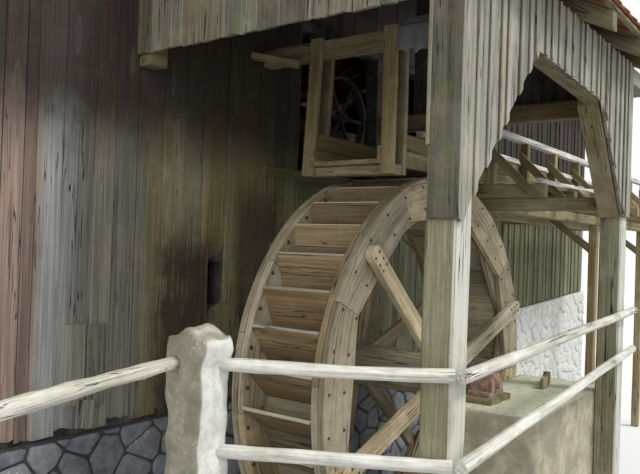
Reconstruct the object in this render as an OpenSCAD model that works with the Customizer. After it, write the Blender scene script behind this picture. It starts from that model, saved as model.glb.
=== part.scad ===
// Overshot watermill: the mill's board wall on a stone plinth, a wheel under a long lean-to roof,
// the flume that feeds it, the outer bearing pier and the rail fence in front.
// X points out of the mill wall along the axle, Y along the wall, Z up. The origin lies under the
// wheel's axle, on the underside of the front plinth, in the plane of the board wall's outer face.

/* [Mill house] */
// Length of the house along the stream
house_l = 13900; // [12500:100:16000]
// Depth of the house behind the wheel wall
house_d = 6400; // [5000:100:8000]
// Distance from the axle to the near end of the house
near_end = 4700; // [4000:100:5500]
// Thickness of the timber walls, boards and framing together
wall_t = 160; // [120:10:220]
// Height that the far part of the plinth steps up by, beyond the hatch
far_step = 300; // [200:10:400]
// Further rise of the far part of the plinth toward the far end
far_rise = 360; // [200:10:400]
// Thickness of the stone plinth
plinth_t = 480; // [400:20:600]
// How far the plinth stands proud of the boards
plinth_proud = 60; // [20:10:100]
// Roof pitch in degrees
pitch = 27; // [24:0.5:30]
// Height of the boards above the hatch, up to the rafters' underside
over_hatch = 1050; // [900:10:1300]
// Depth of a rafter, measured upright
rafter_h = 150; // [100:10:200]
// Width of a rafter
rafter_w = 110; // [80:10:140]
// Distance between rafters
rafter_gap = 860; // [700:20:1000]
// Thickness of battens and tiles together, measured upright
tiles_t = 90; // [60:10:120]
// Overhang of the main eaves
eave_over = 550; // [300:50:700]
// Overhang of the roof at the gables
verge_over = 300; // [100:50:500]

/* [Hatch in the wheel wall] */
// Near side of the hatch from the axle
hatch_from = -250; // [-300:10:0]
// Width of the hatch
hatch_w = 2750; // [2400:50:3000]
// Height of the hatch's sill above the underside of the flume's trough
sill_up = 60; // [10:10:160]
// Height of the hatch
hatch_h = 1450; // [1200:50:1600]
// Near edge of the stud that divides the hatch, from the axle
stud_from = 1190; // [1100:10:1250]
// Width of the stud that divides the hatch
stud_w = 160; // [120:10:200]
// Half the width of the slot for the axle
axle_slot = 270; // [240:5:320]
// Half the width of the boards cut round the axle
slot_wall = 400; // [360:10:450]
// Width of the broken-out hole in the boards
broken_w = 190; // [120:10:240]
// Height of the broken-out hole
broken_h = 390; // [250:10:450]
// Near side of the broken-out hole from the axle
broken_from = -1480; // [-1600:10:-1350]
// Height of the lower edge of the broken-out hole
broken_z = 2520; // [2400:10:2600]

/* [Water wheel] */
// Outer radius of the wheel
wheel_r = 1820; // [1600:10:1900]
// Width over both shrouds
wheel_w = 910; // [700:10:940]
// Gap between the wheel and the mill wall
wheel_gap = 660; // [600:10:700]
// Clearance between the wheel and the pit floor
pit_gap = 110; // [60:10:200]
// Clearance between the timber axle and the plinth
axle_over = 90; // [60:5:140]
// Radial depth of the shrouds
shroud_d = 320; // [260:10:360]
// Thickness of one plank layer of a shroud, which has two
layer_t = 42; // [30:2:50]
// Number of buckets
bucket_n = 28; // [20:2:32]
// Thickness of the sole and bucket planks
plank_t = 28; // [20:2:36]
// Radial depth of a bucket's floor plank
floor_d = 150; // [100:5:170]
// Gap between a bucket lip and the rim
lip_in = 12; // [5:1:30]
// Angle that a bucket's face plank leads its floor
lead_a = 8.6; // [6:0.2:9.5]
// Number of arms on each side
arm_n = 6; // [4:2:8]
// Direction of the first arm in degrees
arm_a = 19; // [0:1:59]
// Width of an arm
arm_w = 150; // [120:5:170]
// Thickness of an arm
arm_t = 70; // [50:5:80]
// Distance from an arm's end to the rim
arm_in = 110; // [80:10:200]
// Radius of the timber axle
axle_r = 200; // [170:5:230]
// Radius of an iron gudgeon
gudgeon_r = 36; // [25:1:45]
// Radial running clearance of the gudgeons
run_gap = 0.08; // [0.02:0.01:0.1]

/* [Bearings] */
// Width of the outer pier across the axle line
pier_w = 1960; // [1400:20:2000]
// Distance from the axle to the pier's near face
pier_near = 390; // [300:10:500]
// Height of the axle's line above the bearing piers
bearing_h = 150; // [140:2:160]
// Thickness of the timber chock under a bearing
chock_t = 50; // [40:2:60]
// How far a chock reaches beyond its bearing block
chock_side = 60; // [40:5:100]
// Width of the inner pier across the axle line
inner_w = 700; // [600:20:900]
// How far the inner pier reaches behind the inner bearing
inner_back = 200; // [150:10:300]
// Thickness of the bearing block along the axle
block_t = 200; // [140:10:240]
// Width of the bearing block across the axle
block_w = 300; // [240:10:360]
// Length of an iron gudgeon beyond the timber axle
gudgeon_l = 440; // [420:5:450]
// Length of the axle inside the mill
axle_in = 700; // [600:50:900]

/* [Wheel shed] */
// Square section of the shed posts
post_w = 200; // [160:10:240]
// Distance from the wall to the posts' outer faces
shed_d = 2800; // [2700:20:2900]
// Near face of the near post from the axle
post_near = -2300; // [-2400:10:-2200]
// Clear distance between the two posts
post_bay = 3250; // [3200:10:3400]
// Depth of the eave plate at its inner side
plate_h = 265; // [200:5:300]
// Overhang of the lean-to tiles beyond the posts
shed_over = 350; // [250:10:400]
// Distance that the eave plate runs on past the far post
plate_on = 750; // [300:50:900]
// Height of the far tie beam above the trough's sides
tie_over = 340; // [280:10:400]
// Depth of a tie beam
tie_h = 180; // [140:10:200]
// Width of a tie beam
tie_w = 160; // [120:10:180]
// Thickness of the apron boards
board_t = 28; // [20:2:36]
// Height of the near apron's lower edge above the far tie beam's underside
apron_up = 100; // [60:10:140]
// Depth of the near apron below its beam
apron_drop = 10; // [5:5:30]
// Length of the corbel under the near tie beam
corbel_l = 290; // [200:10:360]
// Depth of the corbel under the near tie beam
corbel_h = 170; // [120:10:200]
// Lower end of the cladding on the near post
cladding_z = 3250; // [3100:10:3400]
// Height at which the cladding's inner board ends above its outer ones
cladding_up = 420; // [300:10:500]
// Distance from the wall to the first board of the far apron
far_apron_from = 400; // [200:20:600]
// Depth of the side apron's rail below the far tie beam's underside, at the far brace
arch_drop = 97; // [60:1:130]
// Length of the slanting part of the side apron's cut
arch_run = 760; // [600:20:900]
// Length of the side apron's boards that end above the slanting cut
slant_l = 210; // [150:10:300]
// Height of the side apron's rail above the brace's level foot
brace_rise = 853; // [750:1:900]
// Depth of a knee brace, measured upright
brace_d = 184; // [150:2:200]
// Distance that a brace stands from its post at the top
brace_run = 1300; // [1100:20:1400]
// Distance that a brace stands from its post at its level foot
brace_foot = 110; // [80:5:140]
// Depth of the rail of the side apron
rail_h = 110; // [90:5:130]
// Drop of the sagging rail toward the far brace
rail_drop = 95; // [0:5:120]
// Lower end of the boards on the far post
far_boards_z = 3450; // [3300:10:3600]

/* [Flume] */
// Inner side of the trough from the wall
trough_from = 650; // [600:10:700]
// Outer width of the trough
trough_w = 750; // [650:10:800]
// Clearance between the wheel and the trough
trough_over = 40; // [20:5:80]
// Height of the trough's sides
trough_h = 300; // [240:10:340]
// Thickness of the trough planks
trough_t = 40; // [30:2:50]
// End of the trough on the near side of the axle
trough_near = -1350; // [-1450:10:-1250]
// Number of flume frames beyond the wheel
frame_n = 8; // [6:1:9]
// Distance between flume frames
frame_gap = 950; // [800:10:1050]
// Section of the frames' uprights
upright_w = 90; // [70:5:110]
// Depth of the frames' sills
sill_h = 150; // [120:5:170]
// Height of the frames' top rail above the trough
rail_rise = 250; // [150:10:350]
// Reach of a frame's sill beyond the trough
sill_reach = 650; // [500:10:750]
// Thickness of the flume's top rail
top_rail_t = 70; // [50:5:90]
// Width of the struts across their slope
strut_v = 125; // [90:5:150]
// Thickness of the struts
strut_t = 40; // [30:2:50]
// How far the struts' heads end below the top rail
strut_drop = 80; // [40:5:120]
// Section of the stringers under the sills and of the trestle posts
trestle_w = 120; // [90:5:140]
// Depth of the stringers under the sills
stringer_h = 130; // [110:5:160]
// Number of the first frame that stands on a post, counted from the wheel
trestle_from = 4; // [2:1:4]
// Frames from one post to the next
trestle_step = 3; // [2:1:3]
// Distance from the wall-side stringer to the foot of a trestle's brace, down the post
trestle_brace = 420; // [340:10:500]

/* [Flume hanger over the wheel] */
// Distance from the axle to the hanger's cross beam
hanger_y = -830; // [-900:10:-760]
// Height of the cross beam above the far tie beam's underside
cross_up = 340; // [310:5:350]
// Depth of the cross beam
cross_h = 160; // [140:5:180]
// Width of the cross beam
cross_w = 130; // [100:5:160]
// Width of a hanger plank
hanger_w = 105; // [80:5:120]
// Thickness of a hanger plank
hanger_t = 50; // [35:5:60]
// Depth of the hanger's sill
hanger_sill_h = 90; // [70:5:100]

/* [Pulley in the mill] */
// Width of the joists beside the hatch
joist_w = 150; // [120:10:180]
// Depth of the joists beside the hatch
joist_h = 200; // [160:10:240]
// Radius of the pulley
pulley_r = 480; // [380:10:500]
// Distance of the pulley from the axle
pulley_y = 880; // [800:10:900]
// Height of the pulley's shaft above the hatch's sill
pulley_up = 736; // [700:2:770]
// Width of the pulley's rim
pulley_w = 90; // [70:5:110]
// Thickness of the pulley's rim
pulley_rim = 34; // [20:2:40]
// Number of spokes
spoke_n = 6; // [4:1:8]
// Radius of the pulley's shaft
shaft_r = 30; // [20:1:36]
// Length of the pulley's shaft
shaft_l = 900; // [850:10:1000]

/* [Fence] */
// Width of a stone fence post
stone_w = 430; // [340:10:460]
// Thickness of a stone fence post
stone_t = 230; // [180:10:260]
// Top of the stone fence posts
stone_z = 2610; // [2500:10:2700]
// Radius of a fence rail
pole_r = 42; // [32:1:50]
// Distance between the stone fence posts
fence_bay = 1950; // [1700:50:2400]
// Distance from the near post's inner face in to the first stone post
stone_in = 1015; // [900:5:1100]
// Distance from the near post out to the first stone post
stone_out = 715; // [600:5:800]
// Angle of the near bay to the wall
fence_turn = 12.8; // [8:0.2:18]
// Gap between the rails of two bays at the near post
rail_gap = 5; // [4:1:12]
// Height of the top rails at the near post
top_rail_z = 2390; // [2350:10:2450]
// Height of the lower rails at the near post
low_rail_z = 1890; // [1820:10:1950]
// Rise of the top right rail along the wheel pit
top_rise = 170; // [0:10:250]
// Rise of the lower right rail along the wheel pit
low_rise = 300; // [0:10:350]

/* [Hidden] */
$fn = 96;

// Gap between sloping faces that rest on each other
seat = 0.1;
// Heights that follow the wheel
axle_z = wheel_r + pit_gap;
plinth_h = axle_z - axle_r - axle_over;
pier_z = axle_z - bearing_h;
trough_z = axle_z + wheel_r + trough_over;
tie_z = trough_z + trough_h + tie_over;
apron_z = tie_z + apron_up;
near_tie_z = apron_z + apron_drop;
arch_z = tie_z - arch_drop;
brace_z = arch_z - brace_rise;
cross_z = tie_z + cross_up;
// The house
ridge_x = -house_d / 2;
house_y0 = -near_end;
house_y1 = house_l - near_end;
rise = tan(pitch);
hatch_to = hatch_from + hatch_w;
hatch_sill = trough_z + sill_up;
hatch_top = hatch_sill + hatch_h;
wall_top = hatch_top + over_hatch;
tiles_low = rafter_h + seat;
tiles_top = tiles_low + tiles_t;
far_plinth_z = plinth_h + far_step + far_rise;
// The wheel
wheel_x0 = wheel_gap;
wheel_x1 = wheel_gap + wheel_w;
shroud_t = 2 * layer_t;
sole_r = wheel_r - shroud_d;
floor_r = sole_r + plank_t + floor_d;
lip_r = wheel_r - lip_in;
arm_end = wheel_r - arm_in;
axle_x1 = wheel_x1 + arm_t + 60;
// The shed
post_x0 = shed_d - post_w;
near_post_y1 = post_near + post_w;
far_post_y0 = near_post_y1 + post_bay;
far_post_y1 = far_post_y0 + post_w;
post_top = roof_z(post_x0) - plate_h;
shed_y0 = post_near - board_t - 150;
shed_y1 = far_post_y1 + plate_on + 100;
shed_x1 = shed_d + shed_over;
// The open side of the shed
rail_x1 = shed_d - 10;
rail_x0 = rail_x1 - 100;
arch_y0 = post_near + 60;
arch_y1 = arch_y0 + arch_run;
slant_y = arch_y1 + slant_l;
brace_y = far_post_y0 - brace_run;
brace_head = brace_run - (brace_d - rail_h) * (brace_run - brace_foot) / brace_rise;
// The flume
trough_to = trough_from + trough_w;
frame_y0 = (far_post_y0 + far_post_y1) / 2;
frame_y1 = frame_y0 + (frame_n - 1) * frame_gap;
trough_far = frame_y1 + 400;
sill_z = trough_z - sill_h;
frame_top = trough_z + trough_h + rail_rise;
frame_x0 = trough_from - upright_w;
frame_x1 = trough_to + upright_w;
sill_x0 = frame_x0 - 40;
strut_in = 15;
sill_x1 = trough_to + sill_reach;
stringer_z = sill_z - stringer_h;
// The bearings
block_z = pier_z + chock_t;
block_x0 = axle_x1 + 200;
cap_h = axle_z - block_z;
gudgeon_out = 30;
pier_x0 = axle_x1 + 20;
inner_x0 = -axle_in - gudgeon_l + gudgeon_out;
// The pulley
pulley_z = hatch_sill + pulley_up;
pulley_x = -350;
pulley_end = pulley_x - shaft_l + pulley_w + 50;
hanger_x = [pulley_x - 250, pulley_end + 60];
hanger_block_t = 120;
hanger_block_w = 180;
// The fence
stone_x = post_x0 - stone_in;
stone_y = post_near - stone_out;
stone2_x = stone_x + fence_bay * sin(fence_turn);
stone2_y = stone_y - fence_bay * cos(fence_turn);

// Height of the rafters' underside at a distance from the wall
function roof_z(x) = x >= ridge_x ? wall_top - x * rise : wall_top - (2 * ridge_x - x) * rise;

// A point in the wheel's plane by radius and angle
function at_angle(r, a) = [r * cos(a), r * sin(a)];

// A block between two corners
module block(x0, x1, y0, y1, z0, z1) {
    translate([x0, y0, z0]) cube([x1 - x0, y1 - y0, z1 - z0]);
}

// An outline in the XZ plane, drawn out along Y
module along_y(y0, y1) {
    translate([0, y1, 0]) rotate([90, 0, 0]) linear_extrude(height = y1 - y0) children();
}

// An outline in the YZ plane, drawn out along X
module along_x(x0, x1) {
    translate([x0, 0, 0]) rotate([90, 0, 90]) linear_extrude(height = x1 - x0) children();
}

// A cylinder along X about the wheel's axis
module on_axis(x0, x1, r) {
    translate([x0, 0, axle_z]) rotate([0, 90, 0]) cylinder(h = x1 - x0, r = r);
}

// A part of the front slope, between two distances from the wall
module slope(x0, x1, y0, y1, low, high) {
    along_y(y0, y1) polygon([[x0, roof_z(x0) + low], [x1, roof_z(x1) + low],
        [x1, roof_z(x1) + high], [x0, roof_z(x0) + high]]);
}

// The same shape on the rear slope
module rear() {
    translate([2 * ridge_x, 0, 0]) mirror([1, 0, 0]) children();
}

// An upright wall along Y whose top follows the front slope
module wall_strip(y0, y1, z0) {
    along_y(y0, y1) polygon([[-wall_t, z0], [0, z0], [0, roof_z(0)], [-wall_t, roof_z(-wall_t)]]);
}

// A round pole between two points
module pole(a, b, r) {
    d = b - a;
    flat = norm([d[0], d[1]]);
    translate(a) rotate([0, atan2(flat, d[2]), atan2(d[1], d[0])]) cylinder(h = norm(d), r = r);
}

// A long plinth, whose top steps up beyond the hatch and then rises on
module long_plinth(over) {
    along_x(-plinth_t + plinth_proud, plinth_proud) polygon([[house_y0, 0], [house_y1, 0],
        [house_y1, far_plinth_z + over], [hatch_to, plinth_h + far_step + over], [hatch_to, plinth_h],
        [house_y0, plinth_h]]);
}

module plinth_front() {
    color("slategray") long_plinth(0);
}

module plinth_rear() {
    color("slategray") rear() long_plinth(0);
}

module end_plinths() {
    x0 = -house_d - plinth_proud + plinth_t;
    x1 = plinth_proud - plinth_t;
    color("slategray") {
        block(x0, x1, house_y0, house_y0 + plinth_t, 0, plinth_h);
        block(x0, x1, house_y1 - plinth_t, house_y1, 0, far_plinth_z);
    }
}

module front_wall_near() {
    color("dimgray") difference() {
        wall_strip(house_y0, hatch_from, plinth_h);
        block(-wall_t - 1, 1, -slot_wall, hatch_from + 1, plinth_h - 1, hatch_sill);
        block(-wall_t - 1, 1, broken_from, broken_from + broken_w, broken_z, broken_z + broken_h);
    }
}

module front_wall_far() {
    color("dimgray") difference() {
        wall_strip(hatch_to, house_y1, plinth_h);
        long_plinth(seat);
    }
}

// The boards below the hatch are cut round the axle
module front_wall_below_hatch() {
    color("dimgray") difference() {
        block(-wall_t, 0, -slot_wall, hatch_to, plinth_h, hatch_sill);
        on_axis(-wall_t - 1, 1, axle_slot);
        block(-wall_t - 1, 1, -axle_slot, axle_slot, plinth_h - 1, axle_z);
    }
}

// The boards above the hatch and the stud that divides it
module front_wall_above_hatch() {
    color("dimgray") {
        wall_strip(hatch_from, hatch_to, hatch_top);
        block(-wall_t, 0, stud_from, stud_from + stud_w, hatch_sill, hatch_top);
    }
}

module rear_wall() {
    color("saddlebrown") rear() difference() {
        wall_strip(house_y0, house_y1, plinth_h);
        long_plinth(seat);
    }
}

// A gable wall between the long walls
module gable(y, z) {
    along_y(y, y + wall_t) polygon([[-wall_t, z], [-wall_t, roof_z(-wall_t)], [ridge_x, roof_z(ridge_x)],
        [2 * ridge_x + wall_t, roof_z(-wall_t)], [2 * ridge_x + wall_t, z]]);
}

module gable_walls() {
    color("saddlebrown") {
        gable(house_y0, plinth_h);
        gable(house_y1 - wall_t, far_plinth_z);
    }
}

// How far down a front rafter runs at a place along the house
function rafter_x1(y) = y > shed_y0 && y < shed_y1 - rafter_w ? shed_x1 - 60 : eave_over;

module roof_rafters() {
    last = floor((house_l - rafter_w) / rafter_gap);
    color("peru") for (i = [0 : last]) {
        y = house_y0 + i * (house_l - rafter_w) / last;
        slope(ridge_x, rafter_x1(y), y, y + rafter_w, 0, rafter_h);
        rear() slope(ridge_x, eave_over, y, y + rafter_w, 0, rafter_h);
    }
}

module main_slope() {
    slope(ridge_x, eave_over, house_y0 - verge_over, house_y1 + verge_over, tiles_low, tiles_top);
}

module front_roof_tiles() {
    color("sienna") main_slope();
}

module rear_roof_tiles() {
    color("sienna") rear() main_slope();
}

module shed_roof_tiles() {
    color("sienna") slope(eave_over, shed_x1, shed_y0, shed_y1, tiles_low, tiles_top);
}

// The ridge cap is an angle laid over both slopes
module ridge_tiles() {
    cap_w = 170;
    cap_t = 40;
    low = roof_z(ridge_x + cap_w) + tiles_top + seat;
    high = roof_z(ridge_x) + tiles_top + seat;
    color("sienna") along_y(house_y0 - verge_over, house_y1 + verge_over) polygon([[ridge_x, high],
        [ridge_x + cap_w, low], [ridge_x + cap_w, low + cap_t], [ridge_x, high + cap_t],
        [ridge_x - cap_w, low + cap_t], [ridge_x - cap_w, low]]);
}

module near_post() {
    color("olivedrab") block(post_x0, shed_d, post_near, near_post_y1, 0, post_top);
}

module far_post() {
    color("olivedrab") block(post_x0, shed_d, far_post_y0, far_post_y1, 0, post_top);
}

module eave_plate() {
    color("olivedrab") along_y(post_near, far_post_y1 + plate_on) polygon([[post_x0, post_top],
        [shed_d, post_top], [shed_d, roof_z(shed_d)], [post_x0, roof_z(post_x0)]]);
}

// The near tie beam on its corbel, and the beam that the flume hangs from
module near_cross_beams() {
    color("darkolivegreen") {
        block(0, post_x0, post_near, post_near + tie_w, near_tie_z, near_tie_z + tie_h);
        block(0, corbel_l, post_near, post_near + tie_w, near_tie_z - corbel_h, near_tie_z);
    }
    color("tan") block(0, post_x0, hanger_y, hanger_y + cross_w, cross_z, cross_z + cross_h);
}

// The far tie beam and the lower beam that the flume rests on
module far_cross_beams() {
    color("darkolivegreen") {
        block(0, post_x0, stud_from, stud_from + stud_w, tie_z, tie_z + tie_h);
        block(0, post_x0, stud_from, stud_from + stud_w, stringer_z, sill_z);
    }
}

// Boards across the shed's near end, up to the rafters, with long ones down the post
module near_apron() {
    x1 = shed_d + board_t;
    color("gray") along_y(post_near - board_t, post_near) polygon([[0, apron_z], [post_x0, apron_z],
        [post_x0, cladding_z + cladding_up], [post_x0 + board_t, cladding_z + cladding_up],
        [post_x0 + board_t, cladding_z],
        [x1, cladding_z], [x1, roof_z(x1)], [0, roof_z(0)]]);
}

// The far end's boards are cut round the eave plate
module far_apron() {
    x1 = shed_d + board_t;
    z0 = tie_z + 40;
    color("gray") along_y(far_post_y1, far_post_y1 + board_t) polygon([[far_apron_from, z0], [x1, z0],
        [x1, roof_z(x1)], [shed_d, roof_z(shed_d)], [shed_d, post_top], [post_x0, post_top],
        [post_x0, roof_z(post_x0)], [far_apron_from, roof_z(far_apron_from)]]);
}

// Boards of the open side: outside the near post they end on a slant, then they stand behind the rail
module side_apron() {
    top = roof_z(shed_d + board_t);
    color("gray") {
        along_x(shed_d, shed_d + board_t) polygon([[post_near, cladding_z], [arch_y0, cladding_z],
            [arch_y1, arch_z - 150], [slant_y, tie_z + tie_h], [slant_y, top], [post_near, top]]);
        along_x(rail_x0 - board_t, rail_x0) polygon([[slant_y, arch_z], [brace_y, arch_z],
            [brace_y, arch_z + rail_h + seat], [far_post_y0 - brace_head, arch_z + rail_h + seat],
            [far_post_y0, brace_low(0) + brace_d + seat], [far_post_y0, post_top], [slant_y, post_top]]);
        block(shed_d, shed_d + board_t, far_post_y0, far_post_y1, far_boards_z, top);
    }
}

// Height of a brace's lower edge at a distance from its post
function brace_low(d) = brace_z + (d - brace_foot) * brace_rise / (brace_run - brace_foot);

// Outline of a brace beside a post at y = 0, with a level foot and an upright head
module brace_outline() {
    polygon([[0, brace_z], [-brace_foot, brace_z], [-brace_run, arch_z], [-brace_run, arch_z + rail_h],
        [-brace_head, arch_z + rail_h], [0, brace_low(0) + brace_d]]);
}

module knee_braces() {
    color("yellowgreen") translate([0, far_post_y0, 0]) along_x(post_x0 + 10, rail_x1) brace_outline();
}

module apron_rail() {
    color("yellowgreen") along_x(rail_x0, rail_x1) polygon([[slant_y, arch_z + rail_drop], [brace_y, arch_z],
        [brace_y, arch_z + rail_h], [slant_y, arch_z + rail_drop + rail_h]]);
}

// Two pairs of planks clasp the cross beam and carry the sill under the trough
module flume_hanger() {
    y0 = hanger_y - hanger_t;
    y1 = hanger_y + cross_w;
    top = cross_z + cross_h + 20;
    color("tan") {
        for (x = [trough_from - hanger_w, trough_to]) {
            block(x, x + hanger_w, y0, hanger_y, trough_z, top);
            block(x, x + hanger_w, y1, y1 + hanger_t, trough_z, top);
        }
        block(trough_from - hanger_w, trough_to + hanger_w, y0, y1 + hanger_t, trough_z - hanger_sill_h, trough_z);
    }
}

module flume_trough() {
    floor_z = trough_z + trough_t;
    top = trough_z + trough_h;
    color("darkkhaki") along_y(trough_near, trough_far) polygon([[trough_from, trough_z], [trough_to, trough_z],
        [trough_to, top], [trough_to - trough_t, top], [trough_to - trough_t, floor_z],
        [trough_from + trough_t, floor_z], [trough_from + trough_t, top], [trough_from, top]]);
}

// Each frame has a sill, two uprights and a raking strut nailed to the near side of the outer one
module flume_frames() {
    foot = sill_x1 - strut_in;
    head = frame_top - strut_drop;
    color("peru") for (i = [0 : frame_n - 1]) {
        y = frame_y0 + i * frame_gap - upright_w / 2;
        block(sill_x0, sill_x1, y, y + upright_w, sill_z, trough_z);
        block(frame_x0, trough_from, y, y + upright_w, trough_z, frame_top);
        block(trough_to, frame_x1, y, y + upright_w, trough_z, frame_top);
        along_y(y - strut_t, y) polygon([[trough_to, head - strut_v], [trough_to, head],
            [foot, sill_z], [foot - strut_v, sill_z]]);
    }
}

module flume_rails() {
    y0 = frame_y0 - upright_w;
    color("peru") {
        block(frame_x0, trough_from, y0, trough_far, frame_top, frame_top + top_rail_t);
        block(trough_to, frame_x1, y0, trough_far, frame_top, frame_top + top_rail_t);
    }
}

// Two stringers carry the sills. The outer one stands on posts, each with a brace up to the sill, and
// the inner one rests on short bearers from the wall
module flume_trestles() {
    x = frame_x1 - trestle_w;
    in_x1 = frame_x0 + trestle_w;
    color("rosybrown") {
        for (x0 = [frame_x0, x]) {
            block(x0, x0 + trestle_w, stud_from + stud_w, trough_far, stringer_z, sill_z);
        }
        for (i = [trestle_from : trestle_step : frame_n - 1]) {
            y = frame_y0 + i * frame_gap - trestle_w / 2;
            block(x, frame_x1, y, y + trestle_w, 0, stringer_z);
            block(0, frame_x0, y, y + trestle_w, stringer_z, sill_z);
            along_y(y, y + trestle_w) polygon([[x, sill_z - trestle_brace - trestle_w],
                [x, sill_z - trestle_brace], [in_x1 + trestle_w, sill_z], [in_x1, sill_z]]);
        }
    }
}

module bearing_pier() {
    color("darkgray") block(pier_x0, post_x0, -pier_near, pier_w - pier_near, 0, pier_z);
}

module inner_pier() {
    color("darkgray") block(inner_x0 - inner_back, inner_x0 + block_t + 2 * chock_side,
        -inner_w / 2, inner_w / 2, 0, pier_z);
}

module bearing_chocks() {
    w = block_w / 2 + chock_side;
    color("brown") for (x = [block_x0, inner_x0]) {
        block(x - chock_side, x + block_t + chock_side, -w, w, pier_z, block_z);
    }
}

// A pillow block with a wide foot and a rounded cap
module pillow_block(x) {
    foot_h = 40;
    difference() {
        union() {
            block(x, x + block_t, -block_w / 2, block_w / 2, block_z, block_z + foot_h);
            block(x, x + block_t, -block_w / 3, block_w / 3, block_z + foot_h, axle_z);
            on_axis(x, x + block_t, cap_h);
        }
        on_axis(x - 1, x + block_t + 1, gudgeon_r + run_gap);
        block(x - 1, x + block_t + 1, -block_w, block_w, block_z - cap_h, block_z);
    }
}

module bearing_blocks() {
    color("firebrick") {
        pillow_block(block_x0);
        pillow_block(inner_x0);
    }
}

// Roughly squared stone, with a sloping head
module stone_post(x, y) {
    chip = 70;
    w = stone_w / 2;
    color("lightgray") along_y(y - stone_t / 2, y + stone_t / 2) translate([x, 0]) polygon([[-w, 0], [w, 0],
        [w, stone_z - chip], [w - 180, stone_z], [-w + chip, stone_z - 30], [-w, stone_z - chip]]);
}

module stone_fence_posts() {
    stone_post(stone_x, stone_y);
    stone_post(stone2_x, stone2_y);
}

module fence_rails() {
    out = shed_d + pole_r;
    y0 = post_near + rail_gap;
    end_y = far_post_y1 + 60;
    color("gainsboro") {
        difference() {
            for (z = [top_rail_z, low_rail_z]) {
                pole([stone_x, stone_y, z], [shed_d + 90, post_near + 30, z], pole_r);
            }
            stone_fence_posts();
            block(post_x0 - post_w, shed_d + post_w, post_near, 0, 0, post_top);
        }
        difference() {
            pole([stone_x - 50, stone_y, top_rail_z], [stone2_x, stone2_y, top_rail_z], pole_r);
            stone_fence_posts();
        }
        pole([out, y0, top_rail_z], [out, end_y, top_rail_z + top_rise], pole_r);
        pole([out, y0, low_rail_z], [out, end_y, low_rail_z + low_rise], pole_r);
    }
}

module wheel_axle() {
    color("sienna") on_axis(-axle_in, axle_x1, axle_r);
}

module wheel_gudgeons() {
    color("firebrick") {
        on_axis(axle_x1, axle_x1 + gudgeon_l, gudgeon_r);
        on_axis(-axle_in - gudgeon_l, -axle_in, gudgeon_r);
    }
}

module ring(x0, x1, r0, r1) {
    difference() {
        on_axis(x0, x1, r1);
        on_axis(x0 - 1, x1 + 1, r0);
    }
}

module wheel_shrouds() {
    color("darkgray") {
        ring(wheel_x0, wheel_x0 + shroud_t, sole_r, wheel_r);
        ring(wheel_x1 - shroud_t, wheel_x1, sole_r, wheel_r);
    }
}

module wheel_sole() {
    color("tan") ring(wheel_x0 + shroud_t, wheel_x1 - shroud_t, sole_r, sole_r + plank_t);
}

// One outline in the wheel's plane for every bucket, drawn out between the shrouds
module per_bucket() {
    for (i = [0 : bucket_n - 1]) {
        translate([0, 0, axle_z]) rotate([i * 360 / bucket_n, 0, 0])
            along_x(wheel_x0 + shroud_t, wheel_x1 - shroud_t) children();
    }
}

module bucket_floors() {
    color("tan") per_bucket() difference() {
        translate([sole_r, -plank_t / 2]) square([floor_r - sole_r, plank_t]);
        circle(r = sole_r + plank_t);
    }
}

// The face planks lean against the turn of the wheel, so that the buckets fill from above
module bucket_faces() {
    color("burlywood") per_bucket() polygon([[floor_r, -plank_t / 2], [floor_r, plank_t / 2],
        at_angle(lip_r, -lead_a), at_angle(lip_r - plank_t, -lead_a)]);
}

module wheel_arms() {
    color("khaki") for (x = [wheel_x0 - arm_t, wheel_x1], i = [0 : arm_n - 1]) {
        difference() {
            translate([0, 0, axle_z]) rotate([arm_a + i * 360 / arm_n, 0, 0])
                block(x, x + arm_t, 0, arm_end, -arm_w / 2, arm_w / 2);
            on_axis(x - 1, x + arm_t + 1, axle_r);
        }
    }
}

// A cylinder along X about the pulley's shaft
module on_shaft(x0, x1, r) {
    translate([x0, pulley_y, pulley_z]) rotate([0, 90, 0]) cylinder(h = x1 - x0, r = r);
}

// Two joists on either side of the hatch carry two beams with the shaft's bearings bolted on
module pulley_hangers() {
    top = pulley_z - 100;
    beam_z = top - 140;
    color("peru") {
        for (y = [hatch_from - joist_w, hatch_to]) {
            block(2 * ridge_x + wall_t, -wall_t, y, y + joist_w, beam_z - joist_h, beam_z);
        }
        for (x = hanger_x) {
            block(x, x + hanger_block_t, hatch_from - joist_w, hatch_to + joist_w, beam_z, top);
            difference() {
                block(x, x + hanger_block_t, pulley_y - hanger_block_w / 2, pulley_y + hanger_block_w / 2,
                    top, pulley_z + 90);
                on_shaft(x - 1, x + hanger_block_t + 1, shaft_r + run_gap);
            }
        }
    }
}

module pulley_wheel() {
    hub_r = shaft_r + 45;
    spoke_w = 40;
    spoke_t = 30;
    mid = pulley_x + pulley_w / 2;
    color("brown") {
        difference() {
            union() {
                difference() {
                    on_shaft(pulley_x, pulley_x + pulley_w, pulley_r);
                    on_shaft(pulley_x - 1, pulley_x + pulley_w + 1, pulley_r - pulley_rim);
                }
                on_shaft(pulley_x, pulley_x + pulley_w, hub_r);
                for (i = [0 : spoke_n - 1]) {
                    translate([0, pulley_y, pulley_z]) rotate([i * 360 / spoke_n, 0, 0])
                        block(mid - spoke_t / 2, mid + spoke_t / 2, shaft_r, pulley_r - pulley_rim / 2,
                            -spoke_w / 2, spoke_w / 2);
                }
            }
            on_shaft(pulley_x - 1, pulley_x + pulley_w + 1, shaft_r);
        }
    }
}

module pulley_shaft() {
    color("gray") on_shaft(pulley_end, pulley_end + shaft_l, shaft_r);
}

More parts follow.
